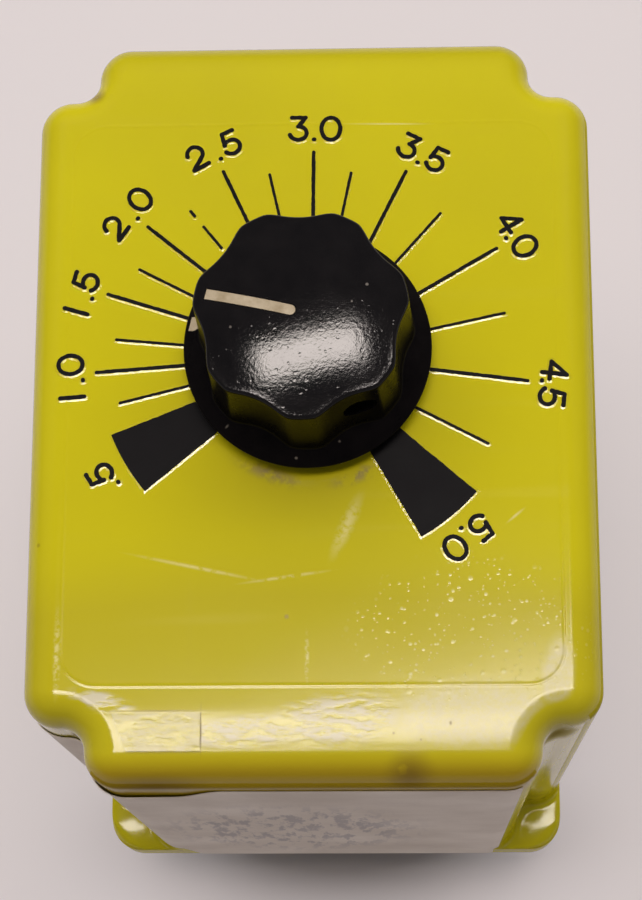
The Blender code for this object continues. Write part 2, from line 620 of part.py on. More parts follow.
def relay():
    """The relay: magnet, sprung armature and two pairs of changeover contacts."""
    frame = empty("relay_frame", (0, RELAY_Y, YOKE_BOTTOM))
    leg_front = BOBBIN_RADIUS + REST_GAP
    leg_rear = leg_front + YOKE_SHEET
    hinge_y = leg_front + YOKE_SHEET / 2
    armature_low = YOKE_HEIGHT + REST_GAP
    pole_top = armature_low - POLE_GAP
    flange_top = pole_top - POLE_HEAD - REST_GAP
    bobbin_low = YOKE_SHEET + REST_GAP
    core_bore = CORE_RADIUS + REST_GAP
    tube_radius = core_bore + BOBBIN_TUBE_WALL
    spring_y = hinge_y + ARMATURE_REAR + TAIL_LENGTH / 2
    tail_rear = hinge_y + ARMATURE_REAR + TAIL_LENGTH

    profile = [(-YOKE_FRONT, 0), (leg_rear, 0), (leg_rear, YOKE_HEIGHT), (leg_front, YOKE_HEIGHT)]
    profile += [(leg_front, YOKE_SHEET), (-YOKE_FRONT, YOKE_SHEET)]
    yoke = add_object("relay_yoke", side_extrusion(profile, 0, YOKE_HALF_WIDTH), frame, ZINC_STEEL)
    joined = add_box(bmesh.new(), (-EAR_REACH, -EAR_HALF_DEPTH, 0), (EAR_REACH, EAR_HALF_DEPTH, YOKE_SHEET))
    lug_low = (-TAIL_HALF_WIDTH, leg_rear - YOKE_SHEET / 2, SPRING_LUG_HEIGHT)
    lug_top = SPRING_LUG_HEIGHT + SPRING_LUG_SHEET
    add_box(joined, lug_low, (TAIL_HALF_WIDTH, tail_rear, lug_top))
    combine(yoke, joined, "UNION")
    holes = add_rod(bmesh.new(), CORE_TAIL_RADIUS + PIN_FIT, -CUT_OVER, YOKE_SHEET + CUT_OVER)
    for side in (-1, 1):
        add_rod(holes, EAR_SCREW_RADIUS + PIN_FIT, -CUT_OVER, YOKE_SHEET + CUT_OVER, (side * EAR_SCREW_X, 0))
    combine(yoke, holes, "DIFFERENCE")

    head_low = YOKE_SHEET + RUN_GAP
    screw_low = REST_GAP - EAR_SCREW_LENGTH
    profile = [(0, screw_low), (EAR_SCREW_RADIUS, screw_low)]
    profile += [(EAR_SCREW_RADIUS, head_low), (EAR_SCREW_HEAD_RADIUS, head_low)]
    profile += [(EAR_SCREW_HEAD_RADIUS, head_low + EAR_SCREW_HEAD), (0, head_low + EAR_SCREW_HEAD)]
    for name, side in (("relay_screw_left", -1), ("relay_screw_right", 1)):
        place = (side * EAR_SCREW_X, 0, 0)
        add_object(name, turned(profile, SMALL_SIDES), frame, ZINC_STEEL, place, smooth=True)

    profile = [(0, -CORE_TAIL_PROUD), (CORE_TAIL_RADIUS, -CORE_TAIL_PROUD), (CORE_TAIL_RADIUS, bobbin_low)]
    profile += [(CORE_RADIUS, bobbin_low), (CORE_RADIUS, pole_top - POLE_HEAD)]
    profile += [(POLE_RADIUS, pole_top - POLE_HEAD), (POLE_RADIUS, pole_top), (0, pole_top)]
    add_object("relay_core", turned(profile, MEDIUM_SIDES), frame, ZINC_STEEL, smooth=True)
    spool_low = bobbin_low + BOBBIN_FLANGE
    spool_high = flange_top - BOBBIN_FLANGE
    profile = [(core_bore, bobbin_low), (BOBBIN_RADIUS, bobbin_low), (BOBBIN_RADIUS, spool_low)]
    profile += [(tube_radius, spool_low), (tube_radius, spool_high), (BOBBIN_RADIUS, spool_high)]
    profile += [(BOBBIN_RADIUS, flange_top), (core_bore, flange_top)]
    add_object("coil_bobbin", turned(profile, MEDIUM_SIDES, ring=True), frame, NYLON_WHITE, smooth=True)
    winding = flat_ring(tube_radius + REST_GAP, WINDING_RADIUS, spool_low + REST_GAP, spool_high - REST_GAP)
    add_object("coil_winding", winding, frame, COPPER_WIRE, smooth=True)

    hinge_z = YOKE_HEIGHT + REST_GAP / 2
    hinge = empty("armature_hinge", (0, hinge_y, hinge_z), frame)
    plate_low = armature_low - hinge_z
    plate_high = plate_low + ARMATURE_SHEET
    plate_front = -ARMATURE_FRONT - hinge_y
    low = (-YOKE_HALF_WIDTH, plate_front, plate_low)
    plate = add_box(bmesh.new(), low, (YOKE_HALF_WIDTH, ARMATURE_REAR, plate_high))
    armature = add_object("armature", plate, hinge, ZINC_STEEL)
    tail_low = (-TAIL_HALF_WIDTH, ARMATURE_REAR - YOKE_SHEET / 2, plate_low)
    tail_high = (TAIL_HALF_WIDTH, ARMATURE_REAR + TAIL_LENGTH, plate_high)
    combine(armature, add_box(bmesh.new(), tail_low, tail_high), "UNION")
    carrier_low = plate_high + REST_GAP
    carrier_high = carrier_low + CARRIER_HEIGHT
    carrier_front = plate_front - CARRIER_OVERHANG
    low = (-CARRIER_HALF_WIDTH, carrier_front, carrier_low)
    high = (CARRIER_HALF_WIDTH, carrier_front + CARRIER_DEPTH, carrier_high)
    add_object("contact_carrier", add_box(bmesh.new(), low, high), hinge, BROWN_BOARD)
    blade_low = carrier_high + REST_GAP
    blade_high = blade_low + BLADE_SHEET
    button_low = blade_low - BUTTON_PROUD
    button_high = blade_high + BUTTON_PROUD

    foot = PLATE_TOP + REST_GAP - YOKE_BOTTOM
    low = (-BLOCK_HALF_WIDTH, BLOCK_FRONT, foot)
    high = (BLOCK_HALF_WIDTH, BLOCK_REAR, BLOCK_TOP)
    add_object("contact_block", add_box(bmesh.new(), low, high), frame, PHENOLIC)
    inner_face = BLOCK_REAR + REST_GAP
    tab_rear = BUTTON_Y + BLADE_TIP
    closed_low = button_low + hinge_z - CONTACT_TRAVEL - REST_GAP
    no_tab = closed_low - BUTTON_PROUD
    no_profile = [(inner_face, STRIP_FOOT), (inner_face + BLADE_SHEET, STRIP_FOOT)]
    no_profile += [(inner_face + BLADE_SHEET, no_tab - BLADE_SHEET), (tab_rear, no_tab - BLADE_SHEET)]
    no_profile += [(tab_rear, no_tab), (inner_face, no_tab)]
    open_high = button_high + hinge_z + REST_GAP
    nc_tab = open_high + BUTTON_PROUD
    nc_profile = [(STRIP_FRONT, STRIP_FOOT), (STRIP_FRONT + BLADE_SHEET, STRIP_FOOT)]
    nc_profile += [(STRIP_FRONT + BLADE_SHEET, nc_tab), (tab_rear, nc_tab)]
    nc_profile += [(tab_rear, nc_tab + BLADE_SHEET), (STRIP_FRONT, nc_tab + BLADE_SHEET)]
    for word, side in (("left", -1), ("right", 1)):
        middle = side * CONTACT_X
        blade_rear = carrier_front + BLADE_ROOT
        low = (middle - BLADE_HALF_WIDTH, BLADE_FRONT - hinge_y, blade_low)
        blade = add_box(bmesh.new(), low, (middle + BLADE_HALF_WIDTH, blade_rear, blade_high))
        moving = add_object("moving_contact_" + word, blade, hinge, SILVER_CONTACT)
        button_place = (middle, BUTTON_Y - hinge_y)
        button = add_rod(bmesh.new(), BUTTON_RADIUS, button_low, button_high, button_place)
        combine(moving, button, "UNION")
        strip = side_extrusion(no_profile, middle, BLADE_HALF_WIDTH)
        fixed = add_object("contact_no_" + word, strip, frame, SILVER_CONTACT)
        combine(fixed, button_rod(bmesh.new(), side, no_tab - BLADE_SHEET / 2, closed_low), "UNION")
        strip = side_extrusion(nc_profile, middle, BLADE_HALF_WIDTH)
        fixed = add_object("contact_nc_" + word, strip, frame, SILVER_CONTACT)
        combine(fixed, button_rod(bmesh.new(), side, open_high, nc_tab + BLADE_SHEET / 2), "UNION")

    low = lug_top + REST_GAP + SPRING_WIRE
    high = armature_low - REST_GAP - SPRING_WIRE
    count = SPRING_TURNS * SPRING_POINTS
    points = []
    for index in range(count + 1):
        angle = math.tau * index / SPRING_POINTS
        height = low + (high - low) * index / count
        points.append((SPRING_RADIUS * math.cos(angle), spring_y + SPRING_RADIUS * math.sin(angle), height))
    tube("return_spring", points, SPRING_WIRE, frame, ZINC_STEEL)


def tube(name, points, radius, parent, finish):
    """A round wire through points, with closed ends."""
    curve = bpy.data.curves.new(name, "CURVE")
    curve.dimensions = "3D"
    curve.bevel_depth = radius
    curve.bevel_resolution = 1
    curve.use_fill_caps = True
    spline = curve.splines.new("POLY")
    spline.points.add(len(points) - 1)
    for target, point in zip(spline.points, points):
        target.co = (*point, 1.0)
    curve.materials.append(finish)
    made = bpy.data.objects.new(name, curve)
    bpy.context.scene.collection.objects.link(made)
    made.parent = parent
    return made


def smooth_route(points, steps):
    """Reads a smooth curve through a few route points."""
    ends = [points[0] * 2 - points[1]] + points + [points[-1] * 2 - points[-2]]
    route = []
    for a, b, c, d in zip(ends, ends[1:], ends[2:], ends[3:]):
        for step in range(steps):
            t = step / steps
            straight = b * 2 + (c - a) * t
            bend = (a * 2 - b * 5 + c * 4 - d) * t ** 2 + (b * 3 - a - c * 3 + d) * t ** 3
            route.append((straight + bend) / 2)
    return route + [points[-1]]


def potentiometer(axis):
    """The control under the knob; heights are measured from the panel."""
    plate_top = -TOP_WALL - REST_GAP * 2 - WASHER_SHEET
    plate_low = plate_top - POT_PLATE
    can_top = plate_low - REST_GAP
    can_low = can_top - POT_CAN_DEPTH
    wafer_top = plate_low - REST_GAP
    wafer_low = wafer_top - WAFER_SHEET
    wiper_top = wafer_low - WIPER_DROP
    wiper_low = wiper_top - WIPER_SHEET
    shaft_low = wiper_low - REST_GAP * 2
    bore = SHAFT_RADIUS + RUN_GAP

    low = -TOP_WALL - REST_GAP - WASHER_SHEET
    washer = flat_ring(BUSHING_RADIUS + REST_GAP, WASHER_RADIUS, low, low + WASHER_SHEET)
    add_object("pot_washer", washer, axis, ZINC_STEEL, smooth=True)

    profile = [(bore, plate_low), (POT_RADIUS, plate_low), (POT_RADIUS, plate_top)]
    profile += [(BUSHING_RADIUS, plate_top), (BUSHING_RADIUS, BUSHING_TOP), (bore, BUSHING_TOP)]
    add_object("pot_bushing", turned(profile, ring=True), axis, BRASS, smooth=True)

    nut_low = REST_GAP
    corner = NUT_FLATS / 2 / math.cos(math.pi / 6)
    shape = add_rod(bmesh.new(), corner, nut_low, nut_low + NUT_HEIGHT, sides=6)
    nut = add_object("pot_nut", shape, axis, NICKEL)
    thread = add_rod(bmesh.new(), BUSHING_RADIUS + PIN_FIT, 0, BUSHING_TOP, sides=MEDIUM_SIDES)
    combine(nut, thread, "DIFFERENCE")

    inside = POT_RADIUS - POT_CAN_SHEET
    profile = [(0, can_low), (POT_RADIUS, can_low), (POT_RADIUS, can_top), (inside, can_top)]
    profile += [(inside, can_low + POT_CAN_SHEET), (0, can_low + POT_CAN_SHEET)]
    can = add_object("pot_can", turned(profile, MEDIUM_SIDES), axis, NICKEL, smooth=True)
    lug_high = wafer_low - REST_GAP
    lug_low = lug_high - LUG_SHEET
    window_half = LUG_SPACING + LUG_HALF_WIDTH + REST_GAP
    window_low = (-window_half, LUG_INNER - REST_GAP, lug_low - REST_GAP)
    window = add_box(bmesh.new(), window_low, (window_half, POT_RADIUS + CUT_OVER, can_top + CUT_OVER))
    combine(can, window, "DIFFERENCE")

    wafer = flat_ring(WAFER_BORE, WAFER_RADIUS, wafer_low, wafer_top)
    add_object("pot_wafer", wafer, axis, BROWN_BOARD, smooth=True)

    lug_end = POT_RADIUS + LUG_REACH
    board_face = BOARD_FRONT_Y - DIAL_Y
    board_top = -BOARD_TOP_GAP
    lead_y = lug_end - LEAD_RADIUS * 2
    for index in range(3):
        middle = (index - 1) * LUG_SPACING
        low = (middle - LUG_HALF_WIDTH, LUG_INNER, lug_low)
        shape = add_box(bmesh.new(), low, (middle + LUG_HALF_WIDTH, lug_end, lug_high))
        add_object("pot_lug_" + str(index + 1), shape, axis, NICKEL)
        start = lug_low - REST_GAP
        finish_y = board_face - REST_GAP
        finish_z = board_top - LEAD_DROP
        route = [
            Vector((middle, lead_y, start)),
            Vector((middle, lead_y, start - LEAD_STRAIGHT)),
            Vector((middle, lead_y + LEAD_BOW, (start + finish_z) / 2)),
            Vector((middle, finish_y - LEAD_STRAIGHT, finish_z)),
            Vector((middle, finish_y, finish_z)),
        ]
        tube("pot_lead_" + str(index + 1), smooth_route(route, LEAD_STEPS), LEAD_RADIUS, axis, LEAD_RED)

    disc = flat_ring(bore, WIPER_RADIUS, wiper_low, wiper_top)
    wiper = add_object("pot_wiper", disc, axis, CHIP_BLACK, smooth=True)
    finger_low = (WIPER_RADIUS - WIPER_FINGER, -WIPER_FINGER / 2, wiper_low + WIPER_SHEET / 2)
    finger_high = (WIPER_RADIUS - RUN_GAP, WIPER_FINGER / 2, wafer_low - REST_GAP)
    finger = add_box(bmesh.new(), finger_low, finger_high)
    turn = Matrix.Rotation(POINTER_ANGLE + math.pi, 4, "Z")
    bmesh.ops.transform(finger, matrix=turn, verts=finger.verts)
    combine(wiper, finger, "UNION")

    profile = [(0, shaft_low), (SHAFT_RADIUS, shaft_low), (SHAFT_RADIUS, SHAFT_TOP), (0, SHAFT_TOP)]
    shaft = add_object("pot_shaft", turned(profile), axis, BRASS, smooth=True)
    flat_low = (SHAFT_RADIUS - SHAFT_FLAT, -SHAFT_RADIUS - CUT_OVER, SHAFT_TOP - SHAFT_FLAT_LENGTH)
    flat_high = (SHAFT_RADIUS + CUT_OVER, SHAFT_RADIUS + CUT_OVER, SHAFT_TOP + CUT_OVER)
    flat = add_box(bmesh.new(), flat_low, flat_high)
    bmesh.ops.transform(flat, matrix=Matrix.Rotation(SET_SCREW_ANGLE, 4, "Z"), verts=flat.verts)
    combine(shaft, flat, "DIFFERENCE")


def knob_loop(lobe, depth, height):
    """One level of the knob: round where depth is 0, and fluted where it isn't."""
    points = []
    for index in range(KNOB_POINTS):
        angle = math.tau * index / KNOB_POINTS
        flute = 0.5 - 0.5 * math.cos(KNOB_LOBES * (angle - LOBE_ANGLE))
        radius = lobe - depth * flute
        points.append((radius * math.cos(angle), radius * math.sin(angle), height))
    return points


def dome_height(radius):
    """Height of the knob's crowned top."""
    share = radius / (LOBE_RADIUS - KNOB_EDGE)
    return KNOB_BODY_TOP + KNOB_EDGE + DOME_RISE * (1 - share * share)


def skirt_height(radius):
    """Height of the knob's sloping skirt."""
    foot = KNOB_GAP + KNOB_SKIRT_RIM
    inner = LOBE_RADIUS + LOBE_TAPER + KNOB_SKIRT_MARGIN
    return foot + (KNOB_SKIRT_TOP - foot) * (KNOB_SKIRT_RADIUS - radius) / (KNOB_SKIRT_RADIUS - inner)


def inlay(surface, inner, outer, width, under, over):
    """A bar along the pointer that follows a surface of the knob, from under it to over it."""
    radii = [inner + (outer - inner) * step / INLAY_STEPS for step in range(INLAY_STEPS + 1)]
    outline = [(radius, surface(radius) + over) for radius in radii]
    outline += [(radius, surface(radius) - under) for radius in reversed(radii)]
    shape = loft([[(radius, y, z) for radius, z in outline] for y in (-width / 2, width / 2)])
    bmesh.ops.transform(shape, matrix=Matrix.Rotation(POINTER_ANGLE, 4, "Z"), verts=shape.verts)
    return shape


def knob(axis):
    """The fluted knob with its white pointer and its set screw."""
    bore = SHAFT_RADIUS + RUN_GAP
    bore_top = KNOB_BODY_TOP + KNOB_EDGE + DOME_RISE - KNOB_TOP_WALL
    skirt_inner = LOBE_RADIUS + LOBE_TAPER + KNOB_SKIRT_MARGIN
    edge_break = KNOB_EDGE / 2
    loops = [knob_loop(bore, 0, bore_top), knob_loop(bore, 0, RECESS_TOP)]
    loops += [knob_loop(RECESS_RADIUS, 0, RECESS_TOP), knob_loop(RECESS_RADIUS, 0, KNOB_GAP)]
    loops.append(knob_loop(KNOB_SKIRT_RADIUS - edge_break, 0, KNOB_GAP))
    loops.append(knob_loop(KNOB_SKIRT_RADIUS, 0, KNOB_GAP + edge_break))
    loops.append(knob_loop(KNOB_SKIRT_RADIUS, 0, KNOB_GAP + KNOB_SKIRT_RIM))
    loops.append(knob_loop(skirt_inner, 0, KNOB_SKIRT_TOP))
    loops.append(knob_loop(LOBE_RADIUS + LOBE_TAPER, FLUTE_DEPTH, KNOB_SKIRT_TOP + edge_break))
    loops.append(knob_loop(LOBE_RADIUS, FLUTE_DEPTH, KNOB_BODY_TOP))
    crown = LOBE_RADIUS - KNOB_EDGE
    for share in DOME_SHARES:
        radius = crown * share
        loops.append(knob_loop(radius, FLUTE_DEPTH * share, dome_height(radius)))
    body = add_object("knob", loft(loops), axis, KNOB_BLACK, smooth=True)

    outer = crown - POINTER_EDGE_MARGIN
    mark_inner = skirt_inner + RUN_GAP
    mark_outer = mark_inner + SKIRT_MARK_LENGTH
    wide = POINTER_WIDTH + RUN_GAP * 2
    under = INLAY_DEPTH + REST_GAP
    groove = inlay(dome_height, POINTER_INNER - RUN_GAP, outer + RUN_GAP, wide, under, CUT_OVER)
    combine(body, groove, "DIFFERENCE")
    skirt_groove = inlay(skirt_height, mark_inner - RUN_GAP, mark_outer + RUN_GAP, wide, under, INLAY_DEPTH)
    combine(body, skirt_groove, "DIFFERENCE")
    shape = inlay(dome_height, POINTER_INNER, outer, POINTER_WIDTH, INLAY_DEPTH, -INLAY_SINK)
    add_object("pointer_line", shape, axis, MARK_WHITE)
    shape = inlay(skirt_height, mark_inner, mark_outer, POINTER_WIDTH, INLAY_DEPTH, -INLAY_SINK)
    add_object("skirt_mark", shape, axis, MARK_WHITE)

    lay_out = Matrix.Rotation(SET_SCREW_ANGLE, 4, "Z") @ Matrix.Rotation(math.pi / 2, 4, "Y")
    level = Matrix.Translation((0, 0, SET_SCREW_HEIGHT)) @ lay_out
    hole = add_rod(bmesh.new(), SET_SCREW_RADIUS + PIN_FIT, SHAFT_RADIUS / 2, KNOB_SKIRT_RADIUS, turn=level)
    combine(body, hole, "DIFFERENCE")
    tip = SHAFT_RADIUS - SHAFT_FLAT + RUN_GAP
    screw = add_rod(bmesh.new(), SET_SCREW_RADIUS, tip, tip + SET_SCREW_LENGTH, turn=level)
    add_object("knob_set_screw", screw, axis, ZINC_STEEL, smooth=True)


case_parts()
plug_parts()
base_plate()
circuit_board()
relay()
dial_axis = empty("dial_axis", (0, DIAL_Y, CASE_TOP))
potentiometer(dial_axis)
knob(dial_axis)
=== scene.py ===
# %% [markdown]
# # A plug-in delay timer, surface by surface
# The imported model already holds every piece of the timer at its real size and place. This lesson gives
# the pieces that show their finished form, gives every piece a finish, and sets up the picture.
# The model is loaded first, because each new piece takes its place from it.

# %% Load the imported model
import json
import math

import bmesh
import bpy
from mathutils import Matrix, Vector, noise


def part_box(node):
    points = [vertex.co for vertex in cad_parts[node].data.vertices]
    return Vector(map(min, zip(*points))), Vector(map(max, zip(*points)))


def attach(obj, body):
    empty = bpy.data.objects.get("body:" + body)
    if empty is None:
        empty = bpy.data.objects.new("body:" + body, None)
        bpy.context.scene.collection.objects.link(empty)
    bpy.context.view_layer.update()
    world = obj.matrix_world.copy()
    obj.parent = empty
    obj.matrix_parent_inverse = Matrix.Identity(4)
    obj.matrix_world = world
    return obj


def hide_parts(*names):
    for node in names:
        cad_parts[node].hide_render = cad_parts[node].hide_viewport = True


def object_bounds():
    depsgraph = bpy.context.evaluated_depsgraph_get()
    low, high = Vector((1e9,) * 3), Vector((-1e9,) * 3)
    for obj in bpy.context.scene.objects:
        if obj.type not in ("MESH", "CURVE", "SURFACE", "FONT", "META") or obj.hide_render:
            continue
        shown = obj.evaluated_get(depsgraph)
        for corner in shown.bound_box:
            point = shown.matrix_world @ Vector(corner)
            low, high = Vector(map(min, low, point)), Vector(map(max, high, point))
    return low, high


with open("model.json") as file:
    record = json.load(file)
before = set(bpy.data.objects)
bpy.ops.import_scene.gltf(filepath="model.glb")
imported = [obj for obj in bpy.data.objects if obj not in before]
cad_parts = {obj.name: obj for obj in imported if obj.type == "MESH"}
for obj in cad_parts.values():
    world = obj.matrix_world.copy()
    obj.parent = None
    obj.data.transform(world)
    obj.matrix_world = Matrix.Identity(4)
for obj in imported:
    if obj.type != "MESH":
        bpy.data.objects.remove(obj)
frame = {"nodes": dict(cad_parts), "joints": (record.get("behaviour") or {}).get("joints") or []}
cad_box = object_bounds()
nodes = frame["nodes"]
MM = 0.001
case_low, case_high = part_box("case_cover")
knob_low, knob_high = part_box("knob")
knob_joint = next(joint for joint in frame["joints"] if joint["name"] == "knob_turn")
DIAL = Vector(knob_joint["pos_m"])
FOOT = case_low.z
PANEL = case_high.z
HALF_X = case_high.x
HALF_Y = case_high.y
print("loaded", len(nodes), "nodes; case", round(HALF_X * 2 / MM, 1), "x", round(HALF_Y * 2 / MM, 1), "mm")

# %% [markdown]
# ## The camera
# The timer is seen almost from above, from a little in front of it, through a long lens. The place and the
# three angles were fitted to the corners of the case and to the dial. A camera could also be aimed with a
# Track To constraint, but plain angles keep the small tilt of the frame.

# %% Camera
CAMERA_PLACE = Vector((7.289, -49.597, 256.784)) * MM
CAMERA_TURN = (14.3402, 2.1210, 0.0315)
CAMERA_LENS = 94.06
CAMERA_NEAR = 10.0 * MM
scene = bpy.context.scene
scene.view_settings.view_transform = "Standard"
camera_angles = [math.radians(angle) for angle in CAMERA_TURN]
bpy.ops.object.camera_add(location=CAMERA_PLACE, rotation=camera_angles)
camera = bpy.context.object
camera.data.lens = CAMERA_LENS
camera.data.clip_start = CAMERA_NEAR
scene.camera = camera
print("camera", round(CAMERA_PLACE.z / MM), "mm up, lens", CAMERA_LENS, "mm")

# %% [markdown]
# ## Floor, lamps and sky
# One long lamp hangs nearly overhead, turned a little. Its mirror image is the pale bar on the knob and the
# pale strip along the front of the case, so its size and place matter more than its power. The rest of the
# light is broad and comes from behind and from both sides, which leaves the front edge in shade. Those fills
# are kept out of mirror reflections, because a glossy black knob would show them as grey.

# %% Floor and lamps
FLOOR_SIZE = 6.0
LAMP_COLOUR = (1.0, 0.905, 0.845)
FILL_COLOUR = (1.0, 0.99, 0.985)
# Each lamp: its name, its place from the middle of the panel, its size and its power.
LONG_LAMP = ("long_lamp", (0.0, 0.03, 1.0), (0.51, 0.165), 4.2)
LAMP_TURN = math.radians(14.0)
FILLS = (
    ("rear_fill", (0.0, 0.38, 0.44), (1.00, 0.40), 2.65),
    ("left_fill", (-0.45, 0.12, 0.40), (0.40, 0.40), 0.40),
    ("right_fill", (0.45, 0.12, 0.40), (0.40, 0.40), 0.20),
)
bpy.ops.mesh.primitive_plane_add(size=FLOOR_SIZE, location=(0.0, 0.0, cad_box[0].z))
floor = bpy.context.object
floor.name = "floor"


def add_lamp(name, place, size, power):
    """Adds a rectangular lamp that looks at the panel."""
    middle = Vector((0.0, 0.0, PANEL))
    aim = (-Vector(place)).to_track_quat("-Z", "Y").to_euler()
    bpy.ops.object.light_add(type="AREA", location=middle + Vector(place), rotation=aim)
    lamp = bpy.context.object
    lamp.name = name
    lamp.data.shape = "RECTANGLE"
    lamp.data.size, lamp.data.size_y = size
    lamp.data.energy = power
    lamp.data.color = FILL_COLOUR
    return lamp


long_lamp = add_lamp(*LONG_LAMP)
long_lamp.rotation_euler = (0.0, 0.0, LAMP_TURN)
long_lamp.data.color = LAMP_COLOUR
for values in FILLS:
    add_lamp(*values).visible_glossy = False
print("floor at", round(cad_box[0].z / MM, 2), "mm, lamps", 1 + len(FILLS))

# %% Sky
SKY_TOP = (0.11, 0.106, 0.11, 1.0)
SKY_EDGE = (0.15, 0.145, 0.145, 1.0)
BACKDROP = (0.42, 0.40, 0.39, 1.0)
STRIP_FADE = 8.0


def add_node(tree, kind, settings=None, inputs=None):
    """Adds a shader node, sets its options, and sets its plain input values."""
    node = tree.nodes.new(kind)
    for key, value in (settings or {}).items():
        setattr(node, key, value)
    for key, value in (inputs or {}).items():
        node.inputs[key].default_value = value
    return node


def feed(tree, socket, value):
    """Links an input to another node's output, or sets it to a plain value."""
    if isinstance(value, bpy.types.NodeSocket):
        tree.links.new(value, socket)
    else:
        socket.default_value = value


def mix_colours(tree, factor, first, second):
    """Mixes two colours; each may be a plain colour or another node's output."""
    node = add_node(tree, "ShaderNodeMix", {"data_type": "RGBA"})
    for socket, value in ((node.inputs[0], factor), (node.inputs[6], first), (node.inputs[7], second)):
        feed(tree, socket, value)
    return node.outputs[2]


def do_math(tree, operation, first, second=0.0, clamp=False):
    """One step of arithmetic on plain numbers or outputs."""
    node = add_node(tree, "ShaderNodeMath", {"operation": operation, "use_clamp": clamp})
    for socket, value in zip(node.inputs, (first, second)):
        feed(tree, socket, value)
    return node.outputs[0]


def seen_rays(tree):
    """One for rays from the camera, from a mirror or through glass, and nothing for other light."""
    rays = add_node(tree, "ShaderNodeLightPath")
    seen = do_math(tree, "ADD", rays.outputs["Is Camera Ray"], rays.outputs["Is Glossy Ray"])
    return do_math(tree, "ADD", seen, rays.outputs["Is Transmission Ray"], clamp=True)


world = bpy.data.worlds.new("soft_sky")
scene.world = world
world.use_nodes = True
sky = world.node_tree
sky_shader = sky.nodes["Background"]
direction = add_node(sky, "ShaderNodeTexCoord")
parts = add_node(sky, "ShaderNodeSeparateXYZ")
sky.links.new(direction.outputs["Generated"], parts.inputs[0])
height = do_math(sky, "MAXIMUM", parts.outputs["Z"], 0.0)
sky_colour = mix_colours(sky, height, SKY_EDGE, SKY_TOP)
near_edge = do_math(sky, "SUBTRACT", 1.0, do_math(sky, "MULTIPLY", height, STRIP_FADE), clamp=True)
strip = do_math(sky, "MULTIPLY", seen_rays(sky), near_edge)
sky.links.new(mix_colours(sky, strip, sky_colour, BACKDROP), sky_shader.inputs["Color"])
print("sky from", SKY_EDGE[0], "at the edge to", SKY_TOP[0], "overhead")

# %% [markdown]
# ## Modelling ring by ring
# The case and the knob are both skins over outlines that change with height. By hand one would draw the
# first outline, extrude it, and move the new ring into its shape, again and again. The helpers here do the
# same: each vertex carries a station number, which extruding copies, so the new ring can be laid on the next
# outline point by point.

# %% Selecting and naming
WELD = 0.0005 * MM
SMOOTH_ANGLE = math.radians(32.0)


def clear_selection():
    """Leaves edit mode and selects nothing."""
    if bpy.context.mode != "OBJECT":
        bpy.ops.object.mode_set(mode="OBJECT")
    bpy.ops.object.select_all(action="DESELECT")


def pick(piece):
    """Selects one piece alone."""
    clear_selection()
    piece.select_set(True)
    bpy.context.view_layer.objects.active = piece


def name_piece(name):
    """Names the piece that an operator has just added."""
    piece = bpy.context.object
    piece.name = name
    piece.data.name = name
    return piece


def close_up(piece):
    """Welds doubles, turns the faces outwards and shades the piece, from edit mode."""
    bpy.ops.mesh.select_all(action="SELECT")
    bpy.ops.mesh.remove_doubles(threshold=WELD)
    bpy.ops.mesh.normals_make_consistent(inside=False)
    pick(piece)
    bpy.ops.object.shade_smooth_by_angle(angle=SMOOTH_ANGLE)
    return piece


print("edges sharper than", round(math.degrees(SMOOTH_ANGLE)), "degrees stay sharp")

# %% Ring helpers


def first_ring(name, points):
    """Adds a circle and lays its vertices on the first outline."""
    clear_selection()
    bpy.ops.mesh.primitive_circle_add(vertices=len(points), radius=1.0)
    piece = name_piece(name)
    bpy.ops.object.mode_set(mode="EDIT")
    shape = bmesh.from_edit_mesh(piece.data)
    station = shape.verts.layers.int.new("station")
    for index, vertex in enumerate(shape.verts):
        vertex[station] = index
        vertex.co = points[index]
    bmesh.update_edit_mesh(piece.data)
    bpy.ops.mesh.select_all(action="SELECT")
    return piece


def next_ring(piece, points):
    """Extrudes the selected ring and lays the new one on the next outline."""
    bpy.ops.mesh.extrude_region_move()
    shape = bmesh.from_edit_mesh(piece.data)
    station = shape.verts.layers.int["station"]
    for vertex in shape.verts:
        if vertex.select:
            vertex.co = points[vertex[station]]
    bmesh.update_edit_mesh(piece.data)


def skin(name, rings, pole=False):
    """A skin over rings, with its open ends capped; pole gathers the last ring in one point."""
    piece = first_ring(name, rings[0])
    for points in rings[1:]:
        next_ring(piece, points)
    if pole:
        bpy.ops.mesh.merge(type="CENTER")
    bpy.ops.mesh.select_all(action="SELECT")
    bpy.ops.mesh.remove_doubles(threshold=WELD)
    bpy.ops.mesh.select_all(action="SELECT")
    bpy.ops.mesh.fill_holes(sides=0)
    return close_up(piece)


def combine(piece, tool, operation):
    """Cuts a tool out of a piece, or joins it on, and removes the tool."""
    pick(piece)
    step = piece.modifiers.new("combine", "BOOLEAN")
    step.operation = operation
    step.object = tool
    bpy.ops.object.modifier_apply(modifier=step.name)
    bpy.data.objects.remove(tool, do_unlink=True)


def keep(piece, body, stands_for=()):
    """Puts a finished piece on its body and the nodes that it stands for."""
    pick(piece)
    bpy.ops.object.transform_apply(location=True, rotation=True, scale=True)
    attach(piece, body)
    if stands_for:
        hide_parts(*stands_for)
    print("made", piece.name, "with", len(piece.data.polygons), "faces, on", body)
    return piece


print("ring helpers ready")

# %% [markdown]
# ## The outline of the case
# Each corner of the moulded cover steps in and out again: a round corner, a hollow one, and a round one.
# Near the foot the notch ends on a small rounded shelf, and below that the case is a plain rounded
# rectangle. Both corners are drawn with the same number of points, so one can melt into the other. A few
# points on the straight side are drawn too, because the corners of the panel line need them.

